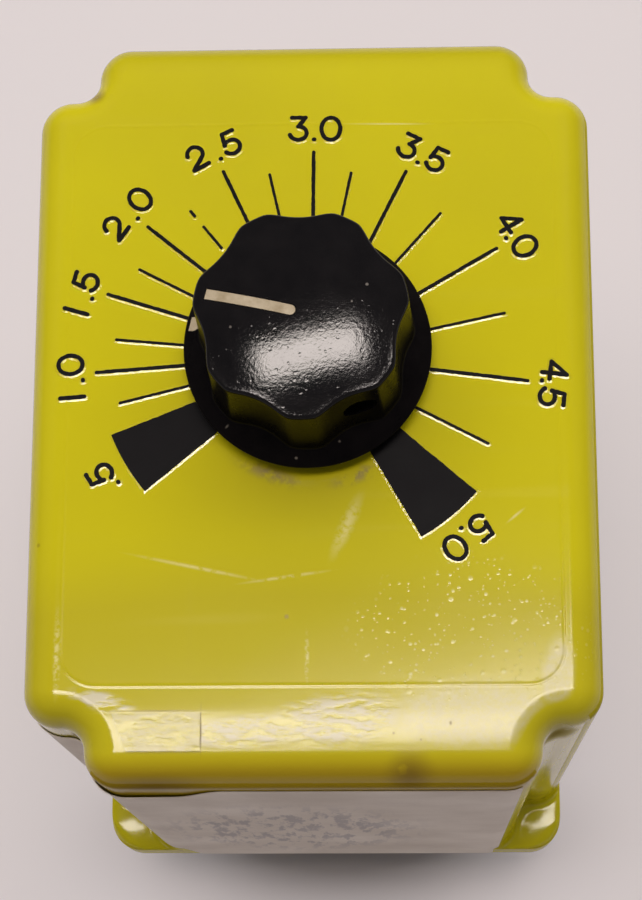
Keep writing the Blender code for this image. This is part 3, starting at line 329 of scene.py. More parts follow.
# %% Case outline
NOTCH_WIDE = 4.7 * MM
NOTCH_DEEP = 4.6 * MM
CORNER_ROUND = 2.7 * MM
NOTCH_STRAIGHT = 0.1 * MM
SKIRT_ROUND = 3.0 * MM
ARC_STEPS = 10
SIDE_STOPS = [stop * MM for stop in (19.0, 20.05, 20.6, 21.1, 21.6, 22.0, 22.4, 22.7)]


def arc(centre_x, centre_y, radius, start, end, steps=ARC_STEPS):
    """Points of a round corner, with its angles in degrees."""
    angles = [math.radians(start + (end - start) * step / steps) for step in range(steps + 1)]
    return [(centre_x + radius * math.cos(a), centre_y + radius * math.sin(a)) for a in angles]


def notched_corner(inset):
    """The rear right corner, drawn in by inset."""
    half_x = HALF_X - inset
    half_y = HALF_Y - inset
    outer = CORNER_ROUND - inset
    inner = NOTCH_DEEP - NOTCH_STRAIGHT - outer
    wall_x = half_x - NOTCH_WIDE
    wall_y = half_y - NOTCH_DEEP
    points = [(half_x, stop) for stop in SIDE_STOPS]
    points += arc(half_x - outer, wall_y - outer, outer, 0, 90)
    points += arc(wall_x + inner, wall_y + inner, inner, 270, 180)
    points += arc(wall_x - outer, half_y - outer, outer, 0, 90)
    return points


CORNER_POINTS = len(notched_corner(0.0))


def round_corner(half_x, half_y, radius):
    """A plain round corner with as many points as a notched one."""
    points = [(half_x, stop) for stop in SIDE_STOPS]
    return points + arc(half_x - radius, half_y - radius, radius, 0, 90, CORNER_POINTS - len(points) - 1)


def all_round(corner):
    """Carries the rear right corner to the other three."""
    points = list(corner)
    points += [(-x, y) for x, y in reversed(corner)]
    points += [(-x, -y) for x, y in corner]
    points += [(x, -y) for x, y in reversed(corner)]
    return points


def blended(first, second, share):
    """An outline part of the way from one outline to another."""
    return [(a + (c - a) * share, b + (d - b) * share) for (a, b), (c, d) in zip(first, second)]


print("outline of", CORNER_POINTS * 4, "points")

# %% [markdown]
# ## The moulded cover
# The cover is one hollow moulding, so its rings run all the way round the wall: up the cavity, over the
# ceiling, out at the foot, up the outside, over the top edge and across the panel back to the bushing hole.
# The panel is bounded by a fine raised line, and outside it the top rolls gently away to the front and rear.
# Rings close to the foot of that line keep the panel's shading flat right up to it.

# %% Case levels
WALL = 1.6 * MM
TOP_WALL = 2.0 * MM
FOOT_BREAK = 0.3 * MM
SKIRT_BAND = 3.6 * MM
SHELF_RISE = 1.1 * MM
SHELF_START = 0.22
SHELF_END = 0.74
SHELF_SLOPE = 0.02 * MM
EAR_PEAK = Vector((20.3, 27.0)) * MM
EAR_RADIUS = 20.5 * MM
EAR_DROP = 0.6 * MM
EAR_SHARE = 0.45
HOLLOW_RISE = 1.5 * MM
SUPPORT = 0.35 * MM
TOP_ROUND = 2.6 * MM
PANEL_HALF_X = 19.2 * MM
PANEL_HALF_Y = 22.75 * MM
PANEL_ROUND = 2.7 * MM
BAND_START = 24.5 * MM
BAND_TILT = 0.094
LINE_HALF = 0.2 * MM
LINE_RISE = 0.0153 * MM
LINE_REST = 0.05 * MM
LINE_STEPS = 8
BAND_STEPS = 12
SHELF_STEPS = 9
HOLE_RADIUS = 3.8 * MM
BAND_REACH = HALF_Y - TOP_ROUND - BAND_START


def band_drop(y):
    """How far the top has rolled away, in front of and behind the panel."""
    past = min(max(abs(y) - BAND_START, 0.0), BAND_REACH)
    return BAND_TILT * past * past / (2 * BAND_REACH)


def level(outline, z):
    """An outline at one height."""
    return [(x, y, z) for x, y in outline]


def domed(skirt, notched, share, z, weight=1.0):
    """An outline on the shelf between skirt and notch, which falls away from a peak in each corner."""
    points = []
    for (a, b), (c, d) in zip(skirt, notched):
        away = Vector((abs(a + c), abs(b + d))) / 2 - EAR_PEAK
        along = min(away.length_squared / (2 * EAR_RADIUS), EAR_DROP)
        across = abs((c - a) * (d - b)) * (share - EAR_SHARE) ** 2 / EAR_RADIUS
        points.append((a + (c - a) * share, b + (d - b) * share, z - (along + across) * weight))
    return points


def on_band(outline, below=0.0):
    """An outline laid on the top of the case, or a little below it."""
    return [(x, y, PANEL - band_drop(y) - below) for x, y in outline]


def panel_line(outline, out):
    """The nearest places to an outline on the panel's edge, moved out."""
    core_x = PANEL_HALF_X - PANEL_ROUND
    core_y = PANEL_HALF_Y - PANEL_ROUND
    points = []
    for x, y in outline:
        near = Vector((min(max(x, -core_x), core_x), min(max(y, -core_y), core_y)))
        way = (Vector((x, y)) - near).normalized()
        points.append(tuple(near + way * (PANEL_ROUND + out)))
    return points


def towards_dial(outline):
    """A round hole at the dial, with its points in line with an outline's."""
    ways = [(Vector((x - DIAL.x, y - DIAL.y))).normalized() * HOLE_RADIUS for x, y in outline]
    return [(DIAL.x + way.x, DIAL.y + way.y) for way in ways]


print("band", round(BAND_REACH / MM, 2), "mm deep in front of the panel")

# %% Cover skin


def wall_rings():
    """Rings of the cavity, the foot and the outer wall, up to the top edge."""
    cavity = all_round(notched_corner(WALL))
    skirt = all_round(round_corner(HALF_X, HALF_Y, SKIRT_ROUND))
    skirt_edge = all_round(round_corner(HALF_X - FOOT_BREAK, HALF_Y - FOOT_BREAK, SKIRT_ROUND - FOOT_BREAK))
    notched = all_round(notched_corner(0.0))
    rings = [level(cavity, PANEL - TOP_WALL), level(cavity, FOOT)]
    rings += [level(skirt_edge, FOOT), level(skirt, FOOT + FOOT_BREAK)]
    rings.append(domed(skirt, notched, 0.0, FOOT + SKIRT_BAND))
    shelf = FOOT + SKIRT_BAND + SHELF_RISE
    angles = [math.pi / 2 * step / SHELF_STEPS for step in range(1, SHELF_STEPS + 1)]
    for angle in angles:
        share = SHELF_START * (1 - math.cos(angle))
        rings.append(domed(skirt, notched, share, shelf - SHELF_RISE * (1 - math.sin(angle))))
    for step in range(1, SHELF_STEPS + 1):
        share = SHELF_START + (SHELF_END - SHELF_START) * step / SHELF_STEPS
        rings.append(domed(skirt, notched, share, shelf + SHELF_SLOPE * share))
    shelf += SHELF_SLOPE * SHELF_END
    for angle in angles:
        share = SHELF_END + (1 - SHELF_END) * math.sin(angle)
        rise = HOLLOW_RISE * (1 - math.cos(angle))
        rings.append(domed(skirt, notched, share, shelf + rise, math.cos(angle)))
    rings.append(level(notched, shelf + HOLLOW_RISE + SUPPORT))
    rings.append(on_band(notched, TOP_ROUND + SUPPORT))
    return rings


def top_rings():
    """Rings of the top edge, the band, the raised line and the panel."""
    rings = []
    for step in range(ARC_STEPS + 1):
        angle = math.pi / 2 * step / ARC_STEPS
        outline = all_round(notched_corner(TOP_ROUND * (1 - math.cos(angle))))
        rings.append(on_band(outline, TOP_ROUND * (1 - math.sin(angle))))
    line_foot = panel_line(outline, LINE_HALF + LINE_REST)
    for step in range(1, BAND_STEPS + 1):
        rings.append(on_band(blended(outline, line_foot, step / BAND_STEPS)))
    for step in range(LINE_STEPS + 1):
        across = 1 - 2 * step / LINE_STEPS
        rise = LINE_RISE * (0.5 + 0.5 * math.cos(math.pi * across))
        rings.append(level(panel_line(outline, LINE_HALF * across), PANEL + rise))
    rings.append(level(panel_line(outline, -LINE_HALF - LINE_REST), PANEL))
    rings.append(level(panel_line(outline, -LINE_HALF - SUPPORT), PANEL))
    return rings


top = top_rings()
hole = towards_dial([point[:2] for point in top[-1]])
ceiling_hole = level(hole, PANEL - TOP_WALL)
case_shell = skin("case_shell", [ceiling_hole, *wall_rings(), *top, level(hole, PANEL), ceiling_hole])
print("cover skin closed,", len(case_shell.data.polygons), "faces")

# %% [markdown]
# ## Screw bosses in the cover
# Two posts moulded inside the cover take the screws that hold the base plate. They start as cylinders, one
# boolean joins them to the wall and another bores them. They can't be seen, but the cover is a piece that
# could be printed or moulded, so it keeps them.

# %% Screw bosses
BOSS_RADIUS = 2.8 * MM
BOSS_HEIGHT = 11.0 * MM
BOSS_BORE = 1.55 * MM
BOSS_SIDES = 32
BOSS_BELOW_BOARD = 0.3 * MM
BORE_START = 1.0 * MM
BORE_SPARE = 0.3 * MM


def add_post(radius, depth, place, sides, turn=(0.0, 0.0, 0.0)):
    """Adds a plain cylinder, to be joined on or cut out."""
    clear_selection()
    sizes = {"vertices": sides, "radius": radius, "depth": depth}
    bpy.ops.mesh.primitive_cylinder_add(location=place, rotation=turn, **sizes)
    return bpy.context.object


for node in ("cover_screw_left", "cover_screw_right"):
    screw_low, screw_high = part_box(node)
    boss_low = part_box("main_board")[0].z - BOSS_BELOW_BOARD
    centre = (screw_low + screw_high) / 2
    for radius, low, high, operation in (
        (BOSS_RADIUS, boss_low, boss_low + BOSS_HEIGHT, "UNION"),
        (BOSS_BORE, boss_low - BORE_START, screw_high.z + BORE_SPARE, "DIFFERENCE"),
    ):
        place = (centre.x, centre.y, (low + high) / 2)
        combine(case_shell, add_post(radius, high - low, place, BOSS_SIDES), operation)
pick(case_shell)
bpy.ops.object.shade_smooth_by_angle(angle=SMOOTH_ANGLE)
keep(case_shell, "case", ("case_cover",))

# %% [markdown]
# ## The pad on the front band
# Left of the middle, the front band carries a thin raised rectangle, moulded with the case. It is a plane
# with its corners pulled to the place, subdivided so that it can follow the roll of the band, and extruded
# down into the moulding.

# %% Moulded pad
PAD_LEFT_REAR = -15.2 * MM
PAD_LEFT_FRONT = -14.0 * MM
PAD_RIGHT = -8.4 * MM
PAD_REAR = -24.75 * MM
PAD_FRONT = -27.7 * MM
PAD_RISE = 0.10 * MM
PAD_SINK = 0.1 * MM
PAD_CUTS = 13
PAD_BORDER = 0.12 * MM
PAD_RIDGE = 0.008 * MM
SQUARE_EDGE = 0.499


def edit_new(name):
    """Names a fresh primitive and opens it for editing with all of it selected."""
    piece = name_piece(name)
    bpy.ops.object.mode_set(mode="EDIT")
    bpy.ops.mesh.select_all(action="SELECT")
    return piece


def place_points(piece, rule, only_selected=False):
    """Moves the vertices of the piece that is being edited by a rule on their place."""
    shape = bmesh.from_edit_mesh(piece.data)
    for vertex in shape.verts:
        if vertex.select or not only_selected:
            vertex.co = rule(vertex.co.copy())
    bmesh.update_edit_mesh(piece.data)


def to_border(share, length):
    """Moves the outermost lines of the grid but one close to its edge, where a low ridge stands."""
    step = 1 / (PAD_CUTS + 1)
    inner = (share - step) / (1 - 2 * step)
    inner = PAD_BORDER / length + inner * (1 - 2 * PAD_BORDER / length)
    return min(max(inner, 0.0), 1.0) if step * 0.5 < share < 1 - step * 0.5 else round(share)


def pad_point(flat):
    """Lays a point of the unit square on the band, a little higher along its edge."""
    ridge = PAD_RIDGE if max(abs(flat.x), abs(flat.y)) > SQUARE_EDGE else 0.0
    along = to_border(flat.y + 0.5, PAD_REAR - PAD_FRONT)
    left = PAD_LEFT_FRONT + (PAD_LEFT_REAR - PAD_LEFT_FRONT) * along
    across = to_border(flat.x + 0.5, PAD_RIGHT - left)
    y = PAD_FRONT + (PAD_REAR - PAD_FRONT) * along
    return Vector((left + (PAD_RIGHT - left) * across, y, PANEL - band_drop(y) - PAD_SINK + ridge))


clear_selection()
bpy.ops.mesh.primitive_plane_add(size=1.0)
moulded_pad = edit_new("moulded_pad")
bpy.ops.mesh.subdivide(number_cuts=PAD_CUTS)
place_points(moulded_pad, pad_point)
bpy.ops.mesh.extrude_region_move(TRANSFORM_OT_translate={"value": (0.0, 0.0, PAD_SINK + PAD_RISE)})
close_up(moulded_pad)
keep(moulded_pad, "case")

# %% [markdown]
# ## The knob
# The knob is black moulded plastic: a sloping skirt, a body with seven flutes, and a crowned top. A real
# tool maker cuts each flute with one round cutter, so the outline here is the lobe's circle with seven such
# cuts, softened where they meet. The rings run up the bore, down the recess for the nut, round the skirt, up
# the flutes and in over the dome to a pole. The skirt's slope runs on into the flutes, without a shelf.

# %% Knob outline
LOBES = 7
LOBE_ANGLE = math.radians(167.6)
LOBE_RADIUS = 8.12 * MM
LOBE_TAPER = 0.2 * MM
CUTTER_RADIUS = 6.2 * MM
FLUTE_RADIUS = 7.38 * MM
SOFT_EDGE = 0.5 * MM
KNOB_ASIDE = Vector((-0.22, 0.0)) * MM
KNOB_LEAN = Vector((-0.018, 0.012))
KNOB_STATIONS = LOBES * 28
knob_turns = [math.tau * index / KNOB_STATIONS for index in range(KNOB_STATIONS)]


def fluted(angle, lobe):
    """Radius of the knob's body in one direction."""
    pitch = math.tau / LOBES
    off = (angle - LOBE_ANGLE) % pitch - pitch / 2
    reach = FLUTE_RADIUS + CUTTER_RADIUS + lobe - LOBE_RADIUS
    root = max(CUTTER_RADIUS ** 2 - (reach * math.sin(off)) ** 2, 0.0)
    scoop = reach * math.cos(off) - math.sqrt(root)
    near = max(SOFT_EDGE - abs(lobe - scoop), 0.0) / SOFT_EDGE
    return min(lobe, scoop) - near * near * SOFT_EDGE / 4


def knob_point(angle, radius, rise):
    """A place on the outside of the knob, which sits a hair off its axis and leans."""
    centre = DIAL.xy + KNOB_ASIDE + KNOB_LEAN * rise
    return (centre.x + radius * math.cos(angle), centre.y + radius * math.sin(angle), PANEL + rise)


def bore_ring(radius, rise):
    """A ring that is true to the axis."""
    return [(DIAL.x + radius * math.cos(a), DIAL.y + radius * math.sin(a), PANEL + rise) for a in knob_turns]


def round_ring(radius, rise):
    """A plain ring of the outside at a height above the panel."""
    return [knob_point(angle, radius, rise) for angle in knob_turns]


print("flutes", round(fluted(LOBE_ANGLE + math.pi / LOBES, LOBE_RADIUS) / MM, 2), "mm from the axis")

# %% Knob body
BORE_RADIUS = 3.1 * MM
BORE_TOP = 10.6 * MM
RECESS_RADIUS = 6.5 * MM
RECESS_TOP = 5.0 * MM
SKIRT_RADIUS = knob_high.x
SKIRT_LOW = knob_low.z - PANEL
SKIRT_RIM = 1.35 * MM
SKIRT_EDGE = 0.2 * MM
SKIRT_UNDERCUT = 0.42 * MM
FLARE_REST = 0.15
FLARE_TOP = 0.8
EDGE_TURN = 0.6
SKIRT_TILT = 0.7
FOOT_FILLET = 0.35 * MM
CROWN_RISE = 0.9 * MM
CROWN_EDGE = 0.3 * MM
CROWN_LEAN = 0.038
KNOB_SPARE = 0.03 * MM
KNOB_TOP = knob_high.z - PANEL - KNOB_SPARE
DOME_STEPS = 16
EDGE_STEPS = 5
FILLET_STEPS = 4
FILLET_REST = 0.05 * MM
FILLET_TALL = 1.3
POLE_SHARE = 0.01
CROWN_RADIUS = LOBE_RADIUS - CROWN_EDGE


def crown(radius, angle):
    """Height of the crowned top above the panel; it leans to the front."""
    lean = CROWN_LEAN * radius * math.sin(angle)
    return KNOB_TOP + lean - CROWN_RISE * (radius / CROWN_RADIUS) ** 2


def skirt_slope(radius, angle=0.0):
    """Height of the sloping skirt above the panel, the same in every direction."""
    return SKIRT_LOW + SKIRT_RIM + SKIRT_EDGE + SKIRT_TILT * (SKIRT_RADIUS - SKIRT_EDGE - radius)


def skirt_rings():
    """Rings of the bore, the nut recess and the skirt, up to the foot of the flutes."""
    rings = [bore_ring(BORE_RADIUS, BORE_TOP), bore_ring(BORE_RADIUS, RECESS_TOP)]
    rings += [bore_ring(RECESS_RADIUS, RECESS_TOP), bore_ring(RECESS_RADIUS, SKIRT_LOW)]
    rings.append(round_ring(SKIRT_RADIUS - SKIRT_UNDERCUT - SKIRT_EDGE, SKIRT_LOW))
    rings.append(round_ring(SKIRT_RADIUS - SKIRT_UNDERCUT, SKIRT_LOW + SKIRT_EDGE))
    rings.append(round_ring(SKIRT_RADIUS - SKIRT_UNDERCUT * FLARE_REST, SKIRT_LOW + SKIRT_RIM * FLARE_TOP))
    for step in range(EDGE_STEPS + 1):
        angle = math.pi / 2 * step / EDGE_STEPS * EDGE_TURN
        radius = SKIRT_RADIUS - SKIRT_EDGE * (1 - math.cos(angle))
        rings.append(round_ring(radius, SKIRT_LOW + SKIRT_RIM + SKIRT_EDGE * math.sin(angle)))
    return rings


def ring_on(surface, radii):
    """A ring laid on the crown or on the skirt, with its own radius at each station."""
    return [knob_point(turn, radius, surface(radius, turn)) for turn, radius in zip(knob_turns, radii)]


def body_rings():
    """Rings of the flutes, the rounded lip and the crown."""
    foot = LOBE_RADIUS + LOBE_TAPER
    rings = []
    for out in (SUPPORT * 2, FOOT_FILLET + FILLET_REST):
        rings.append(ring_on(skirt_slope, [fluted(turn, foot) + out for turn in knob_turns]))
    for step in range(FILLET_STEPS + 1):
        angle = math.pi / 2 * step / FILLET_STEPS
        ring = []
        for turn in knob_turns:
            wall = fluted(turn, foot)
            low = skirt_slope(wall + FOOT_FILLET)
            radius = wall + FOOT_FILLET * (1 - math.sin(angle))
            ring.append(knob_point(turn, radius, low + FOOT_FILLET * FILLET_TALL * (1 - math.cos(angle))))
        rings.append(ring)
    for step in range(-1, EDGE_STEPS):
        angle = math.pi / 2 * max(step, 0) / EDGE_STEPS
        below = SUPPORT if step < 0 else 0.0
        ring = []
        for turn in knob_turns:
            rim = crown(fluted(turn, CROWN_RADIUS), turn) - CROWN_EDGE * (1 - math.sin(angle))
            radius = fluted(turn, LOBE_RADIUS) - CROWN_EDGE * (1 - math.cos(angle))
            ring.append(knob_point(turn, radius, rim - below))
        rings.append(ring)
    shares = [1 - step / DOME_STEPS for step in range(DOME_STEPS)]
    for share in (*shares, POLE_SHARE):
        rings.append(ring_on(crown, [fluted(turn, CROWN_RADIUS) * share for turn in knob_turns]))
    return rings


knob_body = skin("knob_body", skirt_rings() + body_rings(), pole=True)
print("knob skin closed,", round(KNOB_TOP / MM, 2), "mm tall")

# %% [markdown]
# ## Pointer, skirt mark and screw hole
# A pale bar is let into the top of the knob, and a short drop of the same paint sits on its skirt, in line
# with it. Each groove is cut with a bar that follows the surface, and each inlay is the same bar, a little
# smaller. A bar is a grid whose points are laid along the pointer, closer together near its round end, and
# extruded. The hole for the set screw goes through one flute.

# %% Bars that follow the knob
POINTER_ANGLE = math.radians(166.6)
POINTER_ASIDE = 0.24 * MM
POINTER_INNER = 0.29 * MM
POINTER_OUTER = 7.2 * MM
POINTER_WIDTH = 0.78 * MM
GROOVE_DEPTH = 0.4 * MM
GROOVE_FIT = 0.06 * MM
INLAY_SINK = 0.04 * MM
MARK_INNER = 8.45 * MM
MARK_OUTER = 9.35 * MM
MARK_WIDTH = 1.15 * MM
BAR_CUTS = 30
BAR_TIP = 0.01
along_pointer = Vector((math.cos(POINTER_ANGLE), math.sin(POINTER_ANGLE), 0.0))
across_pointer = Vector((-math.sin(POINTER_ANGLE), math.cos(POINTER_ANGLE), 0.0))


def bar(name, surface, inner, outer, width, under, over):
    """A bar from under a surface to over it, with a round inner end."""

    def lay(flat):
        radius = inner + (outer - inner) * (flat.x + 0.5) ** 2
        short = max(width / 2 - (radius - inner), 0.0) / (width / 2)
        half = width / 2 * math.sqrt(max(1 - short * short, BAR_TIP))
        place = along_pointer * radius + across_pointer * (POINTER_ASIDE + flat.y * 2 * half)
        rise = surface(radius, POINTER_ANGLE) - under
        return Vector(knob_point(math.atan2(place.y, place.x), place.length, rise))

    clear_selection()
    bpy.ops.mesh.primitive_grid_add(x_subdivisions=BAR_CUTS, y_subdivisions=2, size=1.0)
    made = edit_new(name)
    place_points(made, lay)
    bpy.ops.mesh.select_all(action="SELECT")
    bpy.ops.mesh.extrude_region_move(TRANSFORM_OT_translate={"value": (0.0, 0.0, under + over)})
    return close_up(made)


pointer_size = (POINTER_INNER, POINTER_OUTER, POINTER_WIDTH)
mark_size = (MARK_INNER, MARK_OUTER, MARK_WIDTH)
for surface, (inner, outer, width) in ((crown, pointer_size), (skirt_slope, mark_size)):
    wide = width + GROOVE_FIT * 2
    groove = bar("groove", surface, inner - GROOVE_FIT, outer + GROOVE_FIT, wide, GROOVE_DEPTH, GROOVE_DEPTH)
    combine(knob_body, groove, "DIFFERENCE")
pointer_inlay = bar("pointer_inlay", crown, *pointer_size, GROOVE_DEPTH - GROOVE_FIT, -INLAY_SINK)
skirt_inlay = bar("skirt_inlay", skirt_slope, *mark_size, GROOVE_DEPTH - GROOVE_FIT, -INLAY_SINK)
keep(pointer_inlay, "dial", ("pointer_line",))
keep(skirt_inlay, "dial", ("skirt_mark",))

# %% Set screw hole
SCREW_FIT = 0.12 * MM
HOLE_SIDES = 40
HOLE_PLACE = 0.65
HOLE_LENGTH = 0.9
screw_low, screw_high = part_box("knob_set_screw")
screw_middle = (screw_low + screw_high) / 2
screw_way = Vector((screw_middle.x - DIAL.x, screw_middle.y - DIAL.y, 0.0)).normalized()
screw_radius = (screw_high.z - screw_low.z) / 2
hole_middle = Vector((DIAL.x, DIAL.y, screw_middle.z)) + screw_way * (SKIRT_RADIUS * HOLE_PLACE)
hole_turn = screw_way.to_track_quat("Z", "Y").to_euler()
cutter = add_post(screw_radius + SCREW_FIT, SKIRT_RADIUS * HOLE_LENGTH, hole_middle, HOLE_SIDES, hole_turn)
combine(knob_body, cutter, "DIFFERENCE")
pick(knob_body)
bpy.ops.object.shade_smooth_by_angle(angle=SMOOTH_ANGLE)
keep(knob_body, "dial", ("knob",))

# %% [markdown]
# ## Stamped marks
# The scale was pressed into the panel with black foil, which leaves a low lip of yellow plastic around each
# stroke. The lip matters: its front slope catches the lamp as a thin broken glint. Each stroke is therefore
# two thin pieces, a lip with sloping sides and the ink on top of it. Both are skins over the same outline,
# which runs along one side of the stroke, round its end, and back. Foil wears, so the width wanders.

# %% Stroke helpers
LIP_WIDTH = 0.16 * MM
LIP_RISE = 0.026 * MM
LIP_SINK = 0.02 * MM
INK_RISE = 0.008 * MM
INK_STEP = 0.0004 * MM
INK_LEVELS = 8
RAGGED = 0.22
RAG_SIZE = 0.33 * MM
RAG_SHIFT = 5.3
END_STEPS = 6
ink_count = 0


def ragged(point, half, side):
    """Half the width of a stroke at one point of one of its sides."""
    place = Vector((point[0] / RAG_SIZE, point[1] / RAG_SIZE, RAG_SHIFT * side))
    return half * (1 + RAGGED * noise.noise(place))


def stroke_sides(path, half, grow, closed=False):
    """The two sides of a stroke along a path."""
    left = []
    right = []
    last = len(path) - 1
    for index, point in enumerate(path):
        before = path[index - 1] if closed else path[max(index - 1, 0)]
        after = path[(index + 1) % len(path)] if closed else path[min(index + 1, last)]
        along = (Vector(after) - Vector(before)).normalized()
        across = Vector((-along.y, along.x))
        left.append(Vector(point) + across * (ragged(point, half, 1) + grow))
        right.append(Vector(point) - across * (ragged(point, half, 2) + grow))
    return left, right


def stroke_outline(path, half, grow):
    """The closed outline of a stroke with round ends."""
    left, right = stroke_sides(path, half, grow)
    ends = []
    for point, spoke in ((path[-1], left[-1]), (path[0], right[0])):
        reach = spoke - Vector(point)
        turns = [-math.pi * step / END_STEPS for step in range(1, END_STEPS)]
        ends.append([Vector(point) + Matrix.Rotation(turn, 2) @ reach for turn in turns])
    return left + ends[0] + right[::-1] + ends[1]


def ink_top():
    """The ink's height, a hair more for each stroke, so that crossing strokes don't share a face."""
    global ink_count
    ink_count += 1
    return LIP_RISE + INK_RISE + INK_STEP * (ink_count % INK_LEVELS)


def ink_and_lip(narrow, wide):
    """The ink and the lip over one outline."""
    ink = skin("ink", [level(narrow, 0.0), level(narrow, ink_top())])
    lip = skin("lip", [level(wide, -LIP_SINK), level(wide, 0.0), level(narrow, LIP_RISE)])
    return ink, lip


def open_stroke(path, half):
    """A stroke with two ends."""
    return ink_and_lip(stroke_outline(path, half, 0.0), stroke_outline(path, half, LIP_WIDTH))


def closed_stroke(path, half):
    """A stroke that meets itself."""
    outer, inner = stroke_sides(path, half, 0.0, closed=True)
    wide, hole = stroke_sides(path, half, LIP_WIDTH, closed=True)
    top = ink_top()
    ink_rings = [(outer, 0.0), (outer, top), (inner, top), (inner, 0.0), (outer, 0.0)]
    lip_rings = [(wide, -LIP_SINK), (wide, 0.0), (outer, LIP_RISE), (inner, LIP_RISE), (hole, 0.0)]
    lip_rings += [(hole, -LIP_SINK), (wide, -LIP_SINK)]
    ink = skin("ink", [level(outline, z) for outline, z in ink_rings])
    lip = skin("lip", [level(outline, z) for outline, z in lip_rings])
    return ink, lip


print("strokes with a lip", round(LIP_WIDTH / MM, 2), "mm wide")

# %% Stamping
inks = []
lips = []


def stamp(pieces, place):
    """Copies finished strokes, each with its own mesh, to a place on the panel."""
    for ink, lip in pieces:
        for piece, found in ((ink, inks), (lip, lips)):
            copied = piece.copy()
            copied.data = piece.data.copy()
            copied.data.transform(place)
            scene.collection.objects.link(copied)
            found.append(copied)


def discard(pieces):
    """Removes the models that the copies were taken from."""
    for pair in pieces:
        for piece in pair:
            bpy.data.objects.remove(piece, do_unlink=True)


print("stamping ready")

# %% [markdown]
# ## Ticks and end sectors
# Whole and half seconds have long ticks, the quarters between them short ones. One of each is modelled along
# the X axis and copied round the dial. One quarter is worn to three dashes, so it has its own pieces. A broad
# black sector closes the scale at both ends.

# %% Ticks
TICK_INNER = 8.6
# Each tick: where it starts and ends on its radius, and its width, in millimetres.
MAJOR_TICK = (TICK_INNER, 17.0, 0.31)
MINOR_TICK = (TICK_INNER, 15.5, 0.24)
WORN_DASHES = ((14.95, 15.5, 0.26), (11.5, 13.8, 0.24), (10.15, 10.45, 0.2))
TICK_STEP = 0.22
SCALE_ANGLES = {
    0.75: 194.0, 1.0: 184.2, 1.25: 174.7, 1.5: 162.2, 1.75: 152.2, 2.0: 140.5, 2.25: 128.8, 2.5: 114.8,
    2.75: 102.7, 3.0: 89.6, 3.25: 78.4, 3.5: 63.8, 3.75: 48.8, 4.0: 30.7, 4.25: 12.3, 4.5: -7.6, 4.75: -28.0,
}
WORN_VALUE = 2.25


def tick(inner, outer, width):
    """One straight stroke along X, with its sizes in millimetres."""
    steps = max(int((outer - inner) / TICK_STEP), 3)
    path = [((inner + (outer - inner) * step / steps) * MM, 0.0) for step in range(steps + 1)]
    return open_stroke(path, width * MM / 2)


def on_dial(degrees):
    """The place of a mark that was modelled along X at the origin."""
    return Matrix.Translation((DIAL.x, DIAL.y, PANEL)) @ Matrix.Rotation(math.radians(degrees), 4, "Z")


major = [tick(*MAJOR_TICK)]
minor = [tick(*MINOR_TICK)]
worn = [tick(*dash) for dash in WORN_DASHES]
for value, degrees in SCALE_ANGLES.items():
    kind = major if (value * 2) % 1 == 0 else minor
    stamp(worn if value == WORN_VALUE else kind, on_dial(degrees))
discard(major + minor + worn)
print("stamped", len(inks), "strokes for", len(SCALE_ANGLES), "ticks")

# %% Sectors
SECTORS = ((202.0, 220.0), (300.0, 319.0))
SECTOR_OUTER = 16.9 * MM
SECTOR_STEPS = 24
SECTOR_RAG = 0.05 * MM
SECTOR_SHIFT = 0.7


def sector_outline(start, end, grow):
    """The outline of a sector that runs in under the knob."""
    inner = TICK_INNER * MM
    far = math.degrees(grow / SECTOR_OUTER)
    near = math.degrees(grow / inner)
    outline = arc(0.0, 0.0, SECTOR_OUTER + grow, start - far, end + far, SECTOR_STEPS)
    sides = []
    for step in range(1, SECTOR_STEPS):
        share = step / SECTOR_STEPS
        sides.append((SECTOR_OUTER + grow + (inner - SECTOR_OUTER - grow) * share, share))
    ahead = [arc(0.0, 0.0, radius, end + far + (near - far) * share, 0.0, 1)[0] for radius, share in sides]
    outline += ahead
    outline += arc(0.0, 0.0, inner, end + near, start - near, SECTOR_STEPS)
    back = [arc(0.0, 0.0, radius, start - far - (near - far) * share, 0.0, 1)[0] for radius, share in sides]
    outline += back[::-1]
    edge = []
    for x, y in outline:
        rag = SECTOR_RAG * noise.noise(Vector((x / RAG_SIZE, y / RAG_SIZE, SECTOR_SHIFT)))
        length = math.hypot(x, y)
        edge.append((x - y / length * rag, y + x / length * rag))
    return edge


sectors = []
for limits in SECTORS:
    sectors.append(ink_and_lip(sector_outline(*limits, 0.0), sector_outline(*limits, LIP_WIDTH)))
stamp(sectors, on_dial(0.0))
discard(sectors)
print("sectors", SECTORS)

# %% [markdown]
# ## Numbers
# The numbers have one stroke width all along, as routed lettering has. A built-in font would be quicker, but
# its strokes swell and its three has a round top. So each figure is a few strokes on a unit square, modelled
# once and copied round the dial with its top outwards.

# %% Stroke figures
FIGURE_HEIGHT = 1.90 * MM
FIGURE_STROKE = 0.36 * MM
BOW_STEPS = 22
LINE_PARTS = 9


def bow(centre_x, centre_y, wide, high, start, end):
    """A bowed stroke: part of an oval, with its angles in degrees."""
    angles = [math.radians(start + (end - start) * step / BOW_STEPS) for step in range(BOW_STEPS + 1)]
    return [(centre_x + wide * math.cos(a), centre_y + high * math.sin(a)) for a in angles]


def line(start, end):
    """A straight stroke, in short parts so that its edges can be ragged."""
    shares = [part / LINE_PARTS for part in range(LINE_PARTS + 1)]
    return [(start[0] + (end[0] - start[0]) * s, start[1] + (end[1] - start[1]) * s) for s in shares]


